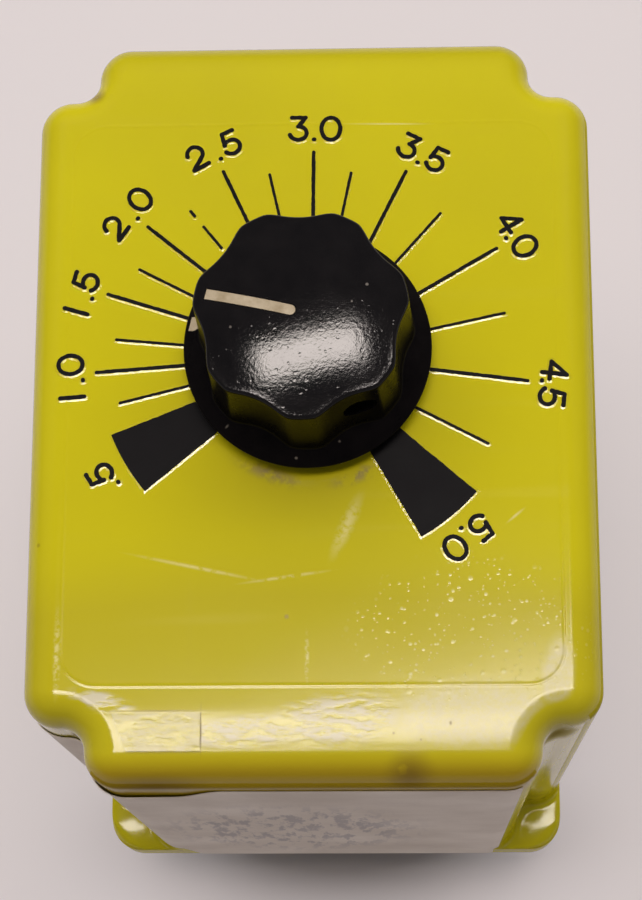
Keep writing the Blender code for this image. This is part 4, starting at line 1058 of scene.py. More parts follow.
# Each figure: how far the next one stands from it, and its strokes.
FIGURES = {
    "0": (1.10, [bow(0.40, 0.5, 0.40, 0.5, 90, 450)]),
    "1": (0.69, [line((0.02, 0.0), (0.02, 1.0))]),
    "2": (1.24, [
        bow(0.36, 0.68, 0.33, 0.32, 178, -38),
        line((0.62, 0.48), (0.04, 0.02)),
        line((0.04, 0.0), (0.74, 0.07)),
    ]),
    "3": (0.96, [
        line((0.05, 1.0), (0.62, 1.0)),
        line((0.62, 1.0), (0.32, 0.60)),
        bow(0.32, 0.30, 0.36, 0.30, 92, -165),
    ]),
    "4": (0.84, [
        line((0.52, 0.0), (0.52, 1.0)),
        line((0.52, 1.0), (0.02, 0.32)),
        line((0.02, 0.32), (0.76, 0.32)),
    ]),
    "5": (0.96, [
        line((0.64, 1.0), (0.17, 1.0)),
        line((0.17, 1.0), (0.08, 0.48)),
        bow(0.34, 0.31, 0.35, 0.31, 142, -155),
    ]),
    ".": (0.34, [line((0.02, 0.02), (0.05, 0.02))]),
}
NUMBER_RADIUS = 19.0 * MM
NUMBER_ANGLES = {
    ".5": -149.0, "1.0": -175.3, "1.5": 163.6, "2.0": 140.8, "2.5": 114.7,
    "3.0": 89.3, "3.5": 62.3, "4.0": 31.0, "4.5": -7.5, "5.0": -50.9,
}
figure_models = {}
for figure, (advance, paths) in FIGURES.items():
    models = []
    for path in paths:
        sized = [(x * FIGURE_HEIGHT, y * FIGURE_HEIGHT) for x, y in path]
        if figure == "0":
            models.append(closed_stroke(sized[:-1], FIGURE_STROKE / 2))
        else:
            models.append(open_stroke(sized, FIGURE_STROKE / 2))
    figure_models[figure] = models
print("figures", " ".join(figure_models))

# %% Numbers round the dial
for text, degrees in NUMBER_ANGLES.items():
    starts = []
    reach = []
    advance = 0.0
    for figure in text:
        starts.append(advance)
        reach += [advance + x for path in FIGURES[figure][1] for x, y in path]
        advance += FIGURES[figure][0]
    middle = (min(reach) + max(reach)) / 2
    for figure, start in zip(text, starts):
        shift = ((start - middle) * FIGURE_HEIGHT, NUMBER_RADIUS - FIGURE_HEIGHT / 2, 0.0)
        stamp(figure_models[figure], on_dial(degrees - 90.0) @ Matrix.Translation(shift))
for models in figure_models.values():
    discard(models)


def join_pieces(name, pieces):
    """Joins finished meshes into one piece."""
    pick(pieces[0])
    for piece in pieces:
        piece.select_set(True)
    bpy.ops.object.join()
    return name_piece(name)


stamp_ink = keep(join_pieces("stamp_ink", inks), "case")
stamp_lip = keep(join_pieces("stamp_lip", lips), "case")

# %% [markdown]
# ## The front label
# A thin pale label covers the front wall and runs on through the left notch to the shoulder. Towards the left
# its top edge has slipped down, and round the corner it has come unstuck and leaves a dark gap. A cloth
# simulation could drape it, but its slipped edge would be hard to place. So it is a grid whose columns are
# laid along the outline of the wall, pushed out where it has lifted, and given its thickness with Solidify.

# %% Front label
LABEL_SHEET = 0.08 * MM
LABEL_GAP = 0.03 * MM
LABEL_TOP = 75.7 * MM
LABEL_SLIP = 2.7 * MM
SLIP_FROM = -7.4 * MM
SLIP_OVER = 3.4 * MM
LABEL_LOW = FOOT + 0.9 * MM
LABEL_LEDGE = FOOT + 7.4 * MM
FLAT_EDGE = HALF_X - NOTCH_WIDE - CORNER_ROUND
LIFT_MOST = 0.14 * MM
LIFT_FROM = -7.0 * MM
LIFT_DEPTH = 3.5 * MM
LABEL_COLUMNS = 110
LABEL_ROWS = 40
FRONT_PARTS = 60
CORNER_PARTS = 6
RIGHT_WRAP = 26
SHOULDER_END = 215
LEDGE_BLEND = 1.6 * MM
NOTCH_LIFT = 0.15


def round_corner_path(centre_x, centre_y, radius, start, end, steps=ARC_STEPS, side=1):
    """Places round one corner of the wall, each with its way out; side is -1 in a hollow corner."""
    points = arc(centre_x, centre_y, radius, start, end, steps)
    return [(x, y, (x - centre_x) * side, (y - centre_y) * side) for x, y in points]


def label_path():
    """Places along the wall, from the right end of the label to the left shoulder, each with its way out."""
    hollow = NOTCH_DEEP - NOTCH_STRAIGHT - CORNER_ROUND
    notch_x = -HALF_X + NOTCH_WIDE - hollow
    notch_y = -HALF_Y + NOTCH_DEEP - hollow
    front = -HALF_Y + CORNER_ROUND
    shoulder = (-HALF_X + CORNER_ROUND, -HALF_Y + NOTCH_DEEP + CORNER_ROUND)
    path = round_corner_path(FLAT_EDGE, front, CORNER_ROUND, -90 + RIGHT_WRAP, -90, CORNER_PARTS)
    for part in range(1, FRONT_PARTS):
        path.append((FLAT_EDGE - 2 * FLAT_EDGE * part / FRONT_PARTS, -HALF_Y, 0.0, -1.0))
    path += round_corner_path(-FLAT_EDGE, front, CORNER_ROUND, 270, 180)
    path += round_corner_path(notch_x, notch_y, hollow, 0, 90, side=-1)
    path += round_corner_path(*shoulder, CORNER_ROUND, 270, SHOULDER_END, CORNER_PARTS)
    return path


wall_path = label_path()


def part_of(share):
    """A share, held between none and all."""
    return min(max(share, 0.0), 1.0)


def label_point(flat):
    """Lays a point of the unit square on the wall, lifted round the left corner."""
    way = (flat.x + 0.5) * (len(wall_path) - 1)
    first = min(int(way), len(wall_path) - 2)
    mixed = [a + (b - a) * (way - first) for a, b in zip(wall_path[first], wall_path[first + 1])]
    x, y = mixed[:2]
    out = Vector((mixed[2], mixed[3], 0.0)).normalized()
    on_front = x > -HALF_X + NOTCH_WIDE
    past = part_of((-x - FLAT_EDGE + LEDGE_BLEND) / LEDGE_BLEND)
    low = LABEL_LOW + (LABEL_LEDGE - LABEL_LOW) * past * past * (3 - 2 * past)
    slip = part_of((SLIP_FROM - x) / SLIP_OVER) if on_front else 1.0
    top = LABEL_TOP - LABEL_SLIP * slip * slip * (3 - 2 * slip)
    z = low + (top - low) * (flat.y + 0.5)
    near = part_of((LIFT_FROM - x) / -LIFT_FROM) if on_front else NOTCH_LIFT
    down = part_of((z - top + LIFT_DEPTH) / LIFT_DEPTH)
    lift = LIFT_MOST * math.sin(math.pi / 2 * near) * down * down
    return Vector((x, y, z)) + out * (LABEL_GAP + lift)


clear_selection()
bpy.ops.mesh.primitive_grid_add(x_subdivisions=LABEL_COLUMNS, y_subdivisions=LABEL_ROWS, size=1.0)
front_label = edit_new("front_label")
place_points(front_label, label_point)
close_up(front_label)
facing = sum(face.normal.y for face in front_label.data.polygons if face.center.y < -HALF_Y)
thick = front_label.modifiers.new("sheet", "SOLIDIFY")
thick.thickness = LABEL_SHEET
thick.offset = 1.0 if facing < 0 else -1.0
bpy.ops.object.modifier_apply(modifier=thick.name)
bpy.ops.object.mode_set(mode="EDIT")
close_up(front_label)
keep(front_label, "case", ("label_front",))

# %% [markdown]
# ## Shared surface effects
# Dirt, wear, grain and painted shade come back in several finishes, so each is a node group that is built
# once. A group only makes masks and heights from Object coordinates; the shader that uses them stays in the
# material.

# %% Node helpers


def new_group(name, inputs, outputs):
    """A node group with named sockets and its two end nodes."""
    tree = bpy.data.node_groups.new(name, "ShaderNodeTree")
    for title, kind, value in inputs:
        tree.interface.new_socket(title, in_out="INPUT", socket_type=kind).default_value = value
    for title in outputs:
        tree.interface.new_socket(title, in_out="OUTPUT", socket_type="NodeSocketFloat")
    return tree, tree.nodes.new("NodeGroupInput"), tree.nodes.new("NodeGroupOutput")


def map_range(tree, value, low, high, to_low=0.0, to_high=1.0, smooth=False):
    """Stretches a value from one range to another, held at the ends."""
    node = add_node(tree, "ShaderNodeMapRange", {"interpolation_type": "SMOOTHSTEP" if smooth else "LINEAR"})
    for socket, item in zip(node.inputs, (value, low, high, to_low, to_high)):
        feed(tree, socket, item)
    return node.outputs[0]


def noise_value(tree, vector, scale, detail=2.0, roughness=0.5):
    """A noise texture's value."""
    node = add_node(tree, "ShaderNodeTexNoise", inputs={"Detail": detail, "Roughness": roughness})
    feed(tree, node.inputs["Vector"], vector)
    feed(tree, node.inputs["Scale"], scale)
    return node.outputs["Fac"]


def on_piece(tree):
    """The place of a surface point on its own piece."""
    return add_node(tree, "ShaderNodeTexCoord").outputs["Object"]


def stretched(tree, scale, turn=0.0):
    """That place, stretched along the axes and turned about Z."""
    node = add_node(tree, "ShaderNodeMapping", inputs={"Scale": scale, "Rotation": (0.0, 0.0, turn)})
    feed(tree, node.inputs["Vector"], on_piece(tree))
    return node.outputs[0]


def vector_math(tree, operation, first, second=None):
    """One step of arithmetic on vectors."""
    node = add_node(tree, "ShaderNodeVectorMath", {"operation": operation})
    feed(tree, node.inputs[0], first)
    if second:
        feed(tree, node.inputs[1], second)
    return node.outputs["Value" if operation == "LENGTH" else "Vector"]


def most_of(tree, masks):
    """The strongest of several masks."""
    found = masks[0]
    for mask in masks[1:]:
        found = do_math(tree, "MAXIMUM", found, mask)
    return found


print("node helpers ready")

# %% Effect groups
NOISE_MIDDLE = 0.56
BREAK_EDGE = 0.08
TONE_RANGE = (0.3, 0.7)
# Each set of scuffs: its turn, and how it is drawn out.
SCUFF_LINES = ((0.5, (0.05, 1.0, 1.0)), (-0.9, (1.0, 0.06, 1.0)), (1.3, (0.04, 1.0, 0.6)))
SCUFF_RANGE = (0.62, 0.72)
SPECK_LEAST = 0.6
SPECK_CORE = 0.5


def build_spot_group():
    """A soft spot at a place, stretched, turned and broken up by noise."""
    sockets = (
        ("Place", "NodeSocketVector", (0.0, 0.0, 0.0)),
        ("Size", "NodeSocketVector", (1.0, 1.0, 1.0)),
        ("Turn", "NodeSocketFloat", 0.0),
        ("Break Up", "NodeSocketFloat", 0.0),
        ("Grain", "NodeSocketFloat", 500.0),
    )
    tree, ends, result = new_group("wear_and_shade_spot", sockets, ("Mask",))
    place = on_piece(tree)
    turned = add_node(tree, "ShaderNodeVectorRotate", {"rotation_type": "Z_AXIS"})
    feed(tree, turned.inputs["Vector"], vector_math(tree, "SUBTRACT", place, ends.outputs["Place"]))
    feed(tree, turned.inputs["Angle"], ends.outputs["Turn"])
    shared = vector_math(tree, "DIVIDE", turned.outputs[0], ends.outputs["Size"])
    soft = map_range(tree, vector_math(tree, "LENGTH", shared), 0.0, 1.0, 1.0, 0.0, smooth=True)
    speckle = noise_value(tree, place, ends.outputs["Grain"], 3.0, 0.6)
    middle = do_math(tree, "MULTIPLY", ends.outputs["Break Up"], NOISE_MIDDLE)
    low = do_math(tree, "SUBTRACT", middle, BREAK_EDGE)
    high = do_math(tree, "ADD", middle, BREAK_EDGE)
    broken = map_range(tree, speckle, low, high)
    tree.links.new(do_math(tree, "MULTIPLY", soft, broken), result.inputs["Mask"])
    return tree


def build_scuff_group():
    """Fine straight scuffs in three directions."""
    sockets = (("Scale", "NodeSocketFloat", 300.0), ("Amount", "NodeSocketFloat", 0.5))
    tree, ends, result = new_group("fine_scuffs", sockets, ("Mask",))
    masks = []
    for turn, stretch in SCUFF_LINES:
        lines = noise_value(tree, stretched(tree, stretch, turn), ends.outputs["Scale"], 2.0, 0.7)
        masks.append(map_range(tree, lines, *SCUFF_RANGE))
    faint = do_math(tree, "MULTIPLY", most_of(tree, masks), ends.outputs["Amount"])
    tree.links.new(faint, result.inputs["Mask"])
    return tree


def build_grain_group():
    """Uneven tone and a fine moulding grain."""
    sockets = (("Tone Scale", "NodeSocketFloat", 60.0), ("Grain Scale", "NodeSocketFloat", 2500.0))
    tree, ends, result = new_group("moulding_grain", sockets, ("Tone", "Height"))
    place = on_piece(tree)
    tone = noise_value(tree, place, ends.outputs["Tone Scale"], 4.0, 0.55)
    tree.links.new(map_range(tree, tone, *TONE_RANGE), result.inputs["Tone"])
    tree.links.new(noise_value(tree, place, ends.outputs["Grain Scale"], 3.0, 0.6), result.inputs["Height"])
    return tree


def build_speck_group():
    """Small scattered specks, one in some of the cells of a random pattern."""
    sockets = (
        ("Scale", "NodeSocketFloat", 600.0),
        ("Size", "NodeSocketFloat", 0.1),
        ("Density", "NodeSocketFloat", 0.1),
    )
    tree, ends, result = new_group("dust_specks", sockets, ("Mask",))
    cells = add_node(tree, "ShaderNodeTexVoronoi")
    feed(tree, cells.inputs["Vector"], on_piece(tree))
    feed(tree, cells.inputs["Scale"], ends.outputs["Scale"])
    chance = add_node(tree, "ShaderNodeSeparateColor")
    feed(tree, chance.inputs[0], cells.outputs["Color"])
    chosen = do_math(tree, "LESS_THAN", chance.outputs[0], ends.outputs["Density"])
    varied = do_math(tree, "ADD", chance.outputs[1], SPECK_LEAST)
    reach = do_math(tree, "MULTIPLY", ends.outputs["Size"], varied)
    core = do_math(tree, "MULTIPLY", reach, SPECK_CORE)
    round_speck = map_range(tree, cells.outputs["Distance"], core, reach, 1.0, 0.0)
    tree.links.new(do_math(tree, "MULTIPLY", chosen, round_speck), result.inputs["Mask"])
    return tree


SPOT = build_spot_group()
SCUFF = build_scuff_group()
GRAIN = build_grain_group()
SPECK = build_speck_group()
print("groups", [group.name for group in bpy.data.node_groups])

# %% Material helpers
SPOT_GAIN = 2.2


def new_finish(name, roughness=0.4, metallic=0.0):
    """A material with its node tree and its Principled shader."""
    made = bpy.data.materials.new(name)
    made.use_nodes = True
    shader = made.node_tree.nodes["Principled BSDF"]
    shader.inputs["Roughness"].default_value = roughness
    shader.inputs["Metallic"].default_value = metallic
    return made, made.node_tree, shader


def use_group(tree, group, **values):
    """Places a shared effect with its own values."""
    node = tree.nodes.new("ShaderNodeGroup")
    node.node_tree = group
    for key, value in values.items():
        node.inputs[key.replace("_", " ").title()].default_value = value
    return node


def spot(tree, place, size, turn=0.0, break_up=0.0, grain=500.0):
    """One soft spot, for wear, dirt, film and painted shade, with its place and size in millimetres and its
    turn in degrees.
    """
    near = tuple(value * MM for value in place)
    wide = tuple(value * MM for value in size)
    angle = -math.radians(turn)
    node = use_group(tree, SPOT, place=near, size=wide, turn=angle, break_up=break_up, grain=grain)
    return node.outputs["Mask"]


def strong(tree, values):
    """A spot that is at its full strength over much of its size."""
    return do_math(tree, "MULTIPLY", spot(tree, *values), SPOT_GAIN, clamp=True)


def add_up(tree, base, masks, shares):
    """A base value plus some of each mask, as a table of shares says."""
    for name, share in shares.items():
        base = do_math(tree, "ADD", base, do_math(tree, "MULTIPLY", masks[name], share))
    return base


def set_roughness(tree, shader, rough, base):
    """Feeds a roughness that starts at a base value."""
    tree.links.new(do_math(tree, "ADD", rough, base, clamp=True), shader.inputs["Roughness"])


def set_shine(shader, shine):
    """Sets how strongly a finish reflects when it is looked at squarely."""
    shader.inputs["Specular IOR Level"].default_value = shine


def add_bump(tree, shader, height, strength, distance):
    """Feeds a height to the shader's normal."""
    node = add_node(tree, "ShaderNodeBump", inputs={"Strength": strength, "Distance": distance})
    tree.links.new(height, node.inputs["Height"])
    tree.links.new(node.outputs[0], shader.inputs["Normal"])


def wear(piece, material):
    """Gives a piece one finish."""
    piece.data.materials.clear()
    piece.data.materials.append(material)


def wear_partly(piece, material, rule):
    """Gives a second finish to the faces that a rule picks."""
    piece.data.materials.append(material)
    for face in piece.data.polygons:
        if rule(face):
            face.material_index = 1


print("finish helpers ready")

# %% [markdown]
# ## Yellow case plastic
# The case is a glossy yellow moulding that has been handled for years. Its tone wanders a little, brown grime
# sits round the knob and in the notches, the front of the panel is scratched and speckled, and a dull pale
# film lies on the front band. Shade and glints are painted too: the rounded front and rear edges and the
# front of the panel are painted darker, thin pale lines along the pad, the rear raised line, the band's left
# edge and the middle of the panel are painted glints, and two thin dark lines beside the pad are painted
# shade.
# Colour, roughness and bump all come from masks laid where the wear and the painted shade are; they could be
# painted by hand as a picture, but masks stay sharp at any distance. The front edge and the right side have
# lost their gloss, so their faces get a duller copy of the finish in a second slot, and the pad gets a copy
# with a film of its own.

# %% Case colours, wear and painted shade
YELLOW_LIGHT = (0.61, 0.535, 0.007, 1.0)
YELLOW_DEEP = (0.56, 0.485, 0.006, 1.0)
# This brown darkens grime and dark specks, and also paints two thin shade lines beside the pad.
GRIME_AND_SHADE = (0.19, 0.115, 0.012, 1.0)
# Painted shade: the next three tones darken the rounded front edge, the rounded rear edge and the front of
# the panel.
RIM_SHADE_BROWN = (0.43, 0.30, 0.008, 1.0)
REAR_SHADE_OLIVE = (0.45, 0.39, 0.006, 1.0)
FRONT_SHADE_OLIVE = (0.51, 0.435, 0.010, 1.0)
# This pale colour lightens scratches and specks, and also paints thin glint lines.
PALE_WEAR_AND_GLINT = (0.74, 0.66, 0.24, 1.0)
PALE_FILM = (0.60, 0.545, 0.42, 1.0)
# Each spot: its place, its size, its turn, how broken up it is, and how fine.
# Painted shade: the first two spots darken the rounded front and rear edges, the third darkens the front of
# the panel.
RIM_SHADE = ((0.0, -31.5, 78.6), (90.0, 4.4, 12.0), 0.0, 0.0, 300.0)
REAR_EDGE_SHADE = ((0.0, 31.5, 78.6), (90.0, 4.4, 12.0), 0.0, 0.0, 300.0)
FRONT_PANEL_SHADE = ((0.0, -22.0, 80.0), (60.0, 11.5, 9.0), 0.0, 0.0, 300.0)
GRIME_AND_DARK_SPOTS = (
    ((-3.2, -6.2, 80.0), (4.0, 1.0, 2.0), -22.0, 0.85, 900.0),
    ((3.5, -6.4, 80.0), (3.0, 0.9, 2.0), 22.0, 0.95, 900.0),
    ((7.4, -29.4, 79.0), (2.4, 2.6, 4.0), 0.0, 0.55, 500.0),
    ((-12.0, -30.1, 77.8), (5.5, 1.4, 2.4), 0.0, 0.3, 400.0),
    # Darker in the inner corner of the rear left notch.
    ((-17.6, 25.6, 79.0), (1.1, 1.1, 3.0), 0.0, 0.6, 900.0),
    ((-18.8, -26.2, 70.0), (1.6, 0.9, 9.0), 0.0, 0.9, 600.0),
)
NOTCH_STAIN = ((18.6, -25.7, 74.5), (2.4, 1.4, 5.5), 0.0, 0.5, 700.0)
DARK_SPECKS_AND_SHADE_LINES = (
    ((10.5, -25.66, 80.0), (0.16, 0.25, 1.0)),
    ((6.2, -26.4, 80.0), (0.15, 0.15, 1.0)),
    ((8.25, -26.9, 80.0), (0.12, 0.16, 1.0)),
    # Painted shade: a dark line along the pad's right edge and one just behind its top edge.
    ((-8.36, -26.1, 80.0), (0.11, 2.6, 1.0)),
    ((-11.6, -24.66, 80.0), (5.6, 0.10, 1.0)),
)
SCRATCHES_AND_GLINTS = (
    ((-9.0, -13.6, 80.0), (6.5, 0.22, 1.0), -12.0, 0.75, 1500.0),
    ((-2.0, -14.4, 80.0), (4.5, 0.2, 1.0), 8.0, 0.8, 1500.0),
    ((2.7, -10.4, 80.0), (3.6, 0.80, 1.0), 66.0, 0.80, 1500.0),
    ((15.7, -9.7, 80.0), (1.2, 0.16, 1.0), 40.0, 0.5, 1800.0),
    # Painted glints: pale lines along the pad's top edge, the band's left edge, the middle of the panel and
    # the rear raised line.
    ((-11.6, -24.82, 80.0), (6.0, 0.13, 1.0), 0.0, 0.3, 1800.0),
    ((-19.45, -20.3, 80.0), (0.40, 4.6, 1.0), 0.0, 0.90, 2600.0),
    ((-0.35, -20.6, 80.0), (0.26, 2.8, 1.0), 0.0, 0.93, 2600.0),
    ((6.0, 22.64, 80.0), (4.4, 0.11, 1.0), -0.9, 0.5, 1800.0),
)
SPECKLED = ((12.5, -19.0, 80.0), (12.0, 7.5, 2.0), 0.0, 0.75, 330.0)
DROP_SCALES = (1250.0, 1900.0, 2600.0)
FILMED = (
    ((2.0, -25.4, 80.0), (6.5, 2.6, 0.5), 6.0, 0.0, 260.0),
    ((-5.0, -26.3, 80.0), (7.0, 1.6, 0.5), 4.0, 0.0, 260.0),
    ((-16.0, -23.9, 80.0), (3.4, 1.0, 0.6), -14.0, 0.0, 260.0),
)
HAZED = (
    ((12.5, -25.2, 80.0), (9.0, 3.6, 0.30), 0.0, 0.0, 260.0),
    ((18.6, -22.2, 80.0), (1.6, 4.0, 0.30), -8.0, 0.0, 260.0),
)
PAD_FILM = (((-11.5, -26.2, 80.0), (9.0, 5.0, 2.0), 0.0, 0.0, 260.0),)
print("case wear:", len(GRIME_AND_DARK_SPOTS), "grimy spots and", len(SCRATCHES_AND_GLINTS), "scratches_and_glints")

# %% Case finish
SMEAR_STRETCH = (0.35, 1.0, 1.0)
SMEAR_TURN = 0.25
SMEAR_SCALE = 1500.0
SMEAR_RANGE = (0.40, 0.58)
MOTTLE_RANGE = (0.35, 0.6, 0.5, 1.0)
BAND_FILM_SHARE = 0.8
PAD_FILM_SHARE = 0.45
HAZE_SHARE = 0.48
DROP_SHARE = 0.7
WEAR_AND_GLINT_SHARE = 0.6
GRIME_AND_SHADE_SHARE = 0.75
CASE_ROUGHNESS = 0.09
CASE_ROUGHENED = {"tone": 0.04, "pale": 0.10, "grime_and_shade": 0.15, "stain": 0.7, "film": 0.10, "haze": 0.18}
CASE_RELIEF = {"scratches_and_glints": -0.15, "film": 0.45, "drops": 0.6}
MOULDED_SHARE = 0.04
CASE_BUMP = 0.015 * MM
CASE_SHINE = 0.40
EDGE_SHINE = 0.004
EDGE_DEPTH = 1.3 * MM
EDGE_NORMAL = 0.5


def smears(tree):
    """Streaks of dried film, drawn out along the band."""
    streaks = noise_value(tree, stretched(tree, SMEAR_STRETCH, SMEAR_TURN), SMEAR_SCALE, 4.0, 0.6)
    return map_range(tree, streaks, *SMEAR_RANGE)


def case_finish(name, films, film_share, shine):
    """Glossy yellow plastic with dirt, scratch marks, pale specks, a film on the front band, and painted
    shade and glints.
    """
    made, tree, shader = new_finish(name)
    grain = use_group(tree, GRAIN, tone_scale=45.0, grain_scale=1600.0)
    masks = {"tone": grain.outputs["Tone"]}
    colour = mix_colours(tree, masks["tone"], YELLOW_LIGHT, YELLOW_DEEP)
    # Painted shade on the front of the panel and on the rounded rear and front edges.
    for values, tone in ((FRONT_PANEL_SHADE, FRONT_SHADE_OLIVE), (REAR_EDGE_SHADE, REAR_SHADE_OLIVE), (RIM_SHADE, RIM_SHADE_BROWN)):
        colour = mix_colours(tree, strong(tree, values), colour, tone)
    film = most_of(tree, [strong(tree, values) for values in films])
    masks["film"] = do_math(tree, "MULTIPLY", film, smears(tree))
    haze = most_of(tree, [strong(tree, values) for values in HAZED])
    mottled = map_range(tree, grain.outputs["Height"], *MOTTLE_RANGE)
    masks["haze"] = do_math(tree, "MULTIPLY", do_math(tree, "MULTIPLY", haze, HAZE_SHARE), mottled)
    pale = do_math(tree, "MAXIMUM", do_math(tree, "MULTIPLY", masks["film"], film_share), masks["haze"])
    colour = mix_colours(tree, pale, colour, PALE_FILM)
    # The scratch mask also carries the painted glint lines.
    masks["scratches_and_glints"] = most_of(tree, [spot(tree, *values) for values in SCRATCHES_AND_GLINTS])
    drops = [use_group(tree, SPECK, scale=scale, size=0.2, density=0.5) for scale in DROP_SCALES]
    drops = most_of(tree, [node.outputs["Mask"] for node in drops])
    masks["drops"] = do_math(tree, "MULTIPLY", drops, strong(tree, SPECKLED))
    faint = do_math(tree, "MULTIPLY", masks["drops"], DROP_SHARE)
    masks["pale"] = most_of(tree, [masks["scratches_and_glints"], faint])
    # Paler where scratched or speckled, and in the painted glint lines.
    colour = mix_colours(tree, do_math(tree, "MULTIPLY", masks["pale"], WEAR_AND_GLINT_SHARE), colour, PALE_WEAR_AND_GLINT)
    specks = use_group(tree, SPECK, scale=520.0, size=0.10, density=0.05).outputs["Mask"]
    masks["stain"] = spot(tree, *NOTCH_STAIN)
    # Darker where grimy or speckled, and in the painted shade lines beside the pad.
    dirt_and_shade = [spot(tree, *values) for values in (*GRIME_AND_DARK_SPOTS, *DARK_SPECKS_AND_SHADE_LINES)]
    masks["grime_and_shade"] = most_of(tree, [*dirt_and_shade, specks, masks["stain"]])
    colour = mix_colours(tree, do_math(tree, "MULTIPLY", masks["grime_and_shade"], GRIME_AND_SHADE_SHARE), colour, GRIME_AND_SHADE)
    tree.links.new(colour, shader.inputs["Base Color"])
    scuffs = use_group(tree, SCUFF, scale=420.0, amount=0.03).outputs["Mask"]
    set_roughness(tree, shader, add_up(tree, scuffs, masks, CASE_ROUGHENED), CASE_ROUGHNESS)
    moulded = do_math(tree, "MULTIPLY", grain.outputs["Height"], MOULDED_SHARE)
    add_bump(tree, shader, add_up(tree, moulded, masks, CASE_RELIEF), 1.0, CASE_BUMP)
    set_shine(shader, shine)
    return made


def on_dull_edge(face):
    """True on the front edge and the right side."""
    front = face.center.y < -HALF_Y + EDGE_DEPTH
    right = face.center.x > HALF_X - EDGE_DEPTH
    return (front or right) and face.normal.z < EDGE_NORMAL


case_plastic = case_finish("case_plastic", FILMED, BAND_FILM_SHARE, CASE_SHINE)
case_edge = case_finish("case_edge", FILMED, BAND_FILM_SHARE, EDGE_SHINE)
pad_plastic = case_finish("pad_plastic", PAD_FILM, PAD_FILM_SHARE, CASE_SHINE)
wear(case_shell, case_plastic)
wear(moulded_pad, pad_plastic)
wear_partly(case_shell, case_edge, on_dull_edge)
print("finish", case_plastic.name, "with", len(case_plastic.node_tree.nodes), "nodes")

# %% [markdown]
# ## Black knob, pale inlay, stamping ink and label
# The knob's top is pitted from handling, which breaks up the lamp's reflection, and specks of dust lie on it.
# Its sides were never polished, so their faces get a duller copy of the same finish. The inlay has yellowed
# and holds dirt. The ink is foil, worn through in tiny flecks, and the lip round it is pressed smooth. The
# label has aged to a warm grey-white, with stains and rubbed patches but nothing written on it.

# %% Knob finish
KNOB_BLACK = (0.0030, 0.0024, 0.0029, 1.0)
KNOB_GREY = (0.0060, 0.0048, 0.0052, 1.0)
KNOB_DUST = (0.32, 0.28, 0.24, 1.0)
TOP_ROUGHNESS = 0.07
TOP_SHINE = 0.5
SIDE_ROUGHNESS = 0.26
SIDE_SHINE = 0.055
SIDE_TOP = 5.0 * MM
SIDE_NORMAL = 0.6
DUST_SHARE = 0.5
PIT_DEPTH = 0.5
KNOB_BUMP = 0.32
GRAIN_BUMP = 0.03 * MM
KNOB_ROUGHENED = {"tone": 0.05, "pale": 0.4}
KNOB_CHIP = ((-6.36, -3.07, 82.3), (0.34, 0.16, 0.6), 40.0, 0.0, 500.0)


def knob_finish(name, base_roughness, shine):
    """Black moulded plastic, pitted and scuffed, with specks of dust and one chip."""
    made, tree, shader = new_finish(name)
    grain = use_group(tree, GRAIN, tone_scale=420.0, grain_scale=3600.0)
    dust = use_group(tree, SPECK, scale=900.0, size=0.09, density=0.10).outputs["Mask"]
    pale = most_of(tree, [do_math(tree, "MULTIPLY", dust, DUST_SHARE), spot(tree, *KNOB_CHIP)])
    pits = use_group(tree, SPECK, scale=2200.0, size=0.26, density=0.3).outputs["Mask"]
    masks = {"tone": grain.outputs["Tone"], "pale": pale, "pits": pits}
    colour = mix_colours(tree, masks["tone"], KNOB_BLACK, KNOB_GREY)
    tree.links.new(mix_colours(tree, pale, colour, KNOB_DUST), shader.inputs["Base Color"])
    scuffs = use_group(tree, SCUFF, scale=900.0, amount=0.02).outputs["Mask"]
    set_roughness(tree, shader, add_up(tree, scuffs, masks, KNOB_ROUGHENED), base_roughness)
    set_shine(shader, shine)
    relief = add_up(tree, grain.outputs["Height"], masks, {"pits": -PIT_DEPTH})
    add_bump(tree, shader, relief, KNOB_BUMP, GRAIN_BUMP)
    return made


def on_knob_side(face):
    """True on the flutes and the skirt."""
    return face.normal.z < SIDE_NORMAL or face.center.z < PANEL + SIDE_TOP


knob_plastic = knob_finish("knob_plastic", TOP_ROUGHNESS, TOP_SHINE)
knob_side = knob_finish("knob_side", SIDE_ROUGHNESS, SIDE_SHINE)
wear(knob_body, knob_plastic)
wear_partly(knob_body, knob_side, on_knob_side)
print("finishes", knob_plastic.name, knob_side.name)

# %% Inlay, ink and label finishes
INLAY_PALE = (0.53, 0.44, 0.30, 1.0)
INLAY_DIRT = (0.33, 0.25, 0.14, 1.0)
INK_BLACK = (0.0042, 0.0036, 0.0044, 1.0)
INK_GREY = (0.0085, 0.0074, 0.0084, 1.0)
INK_SHINE = 0.08
LIP_SHINE = 0.9
LABEL_PALE = (0.80, 0.71, 0.60, 1.0)
LABEL_STAIN = (0.52, 0.44, 0.36, 1.0)
LABEL_SMUDGE = (0.40, 0.35, 0.33, 1.0)
RUBBED = ((-3.0, -30.4, 44.0), (14.0, 3.0, 26.0), 0.0, 0.0, 500.0)
STAIN_SHARE = 0.5
SMUDGE_STRETCH = (1.0, 1.0, 0.22)
SMUDGE_SCALE = 900.0
SMUDGE_RANGE = (0.49, 0.60)
LABEL_ROUGHNESS = (0.42, 0.55)
LABEL_BUMP = 0.02 * MM
ROUGH_SWING = 0.3
ROUGH_BASE = 0.85


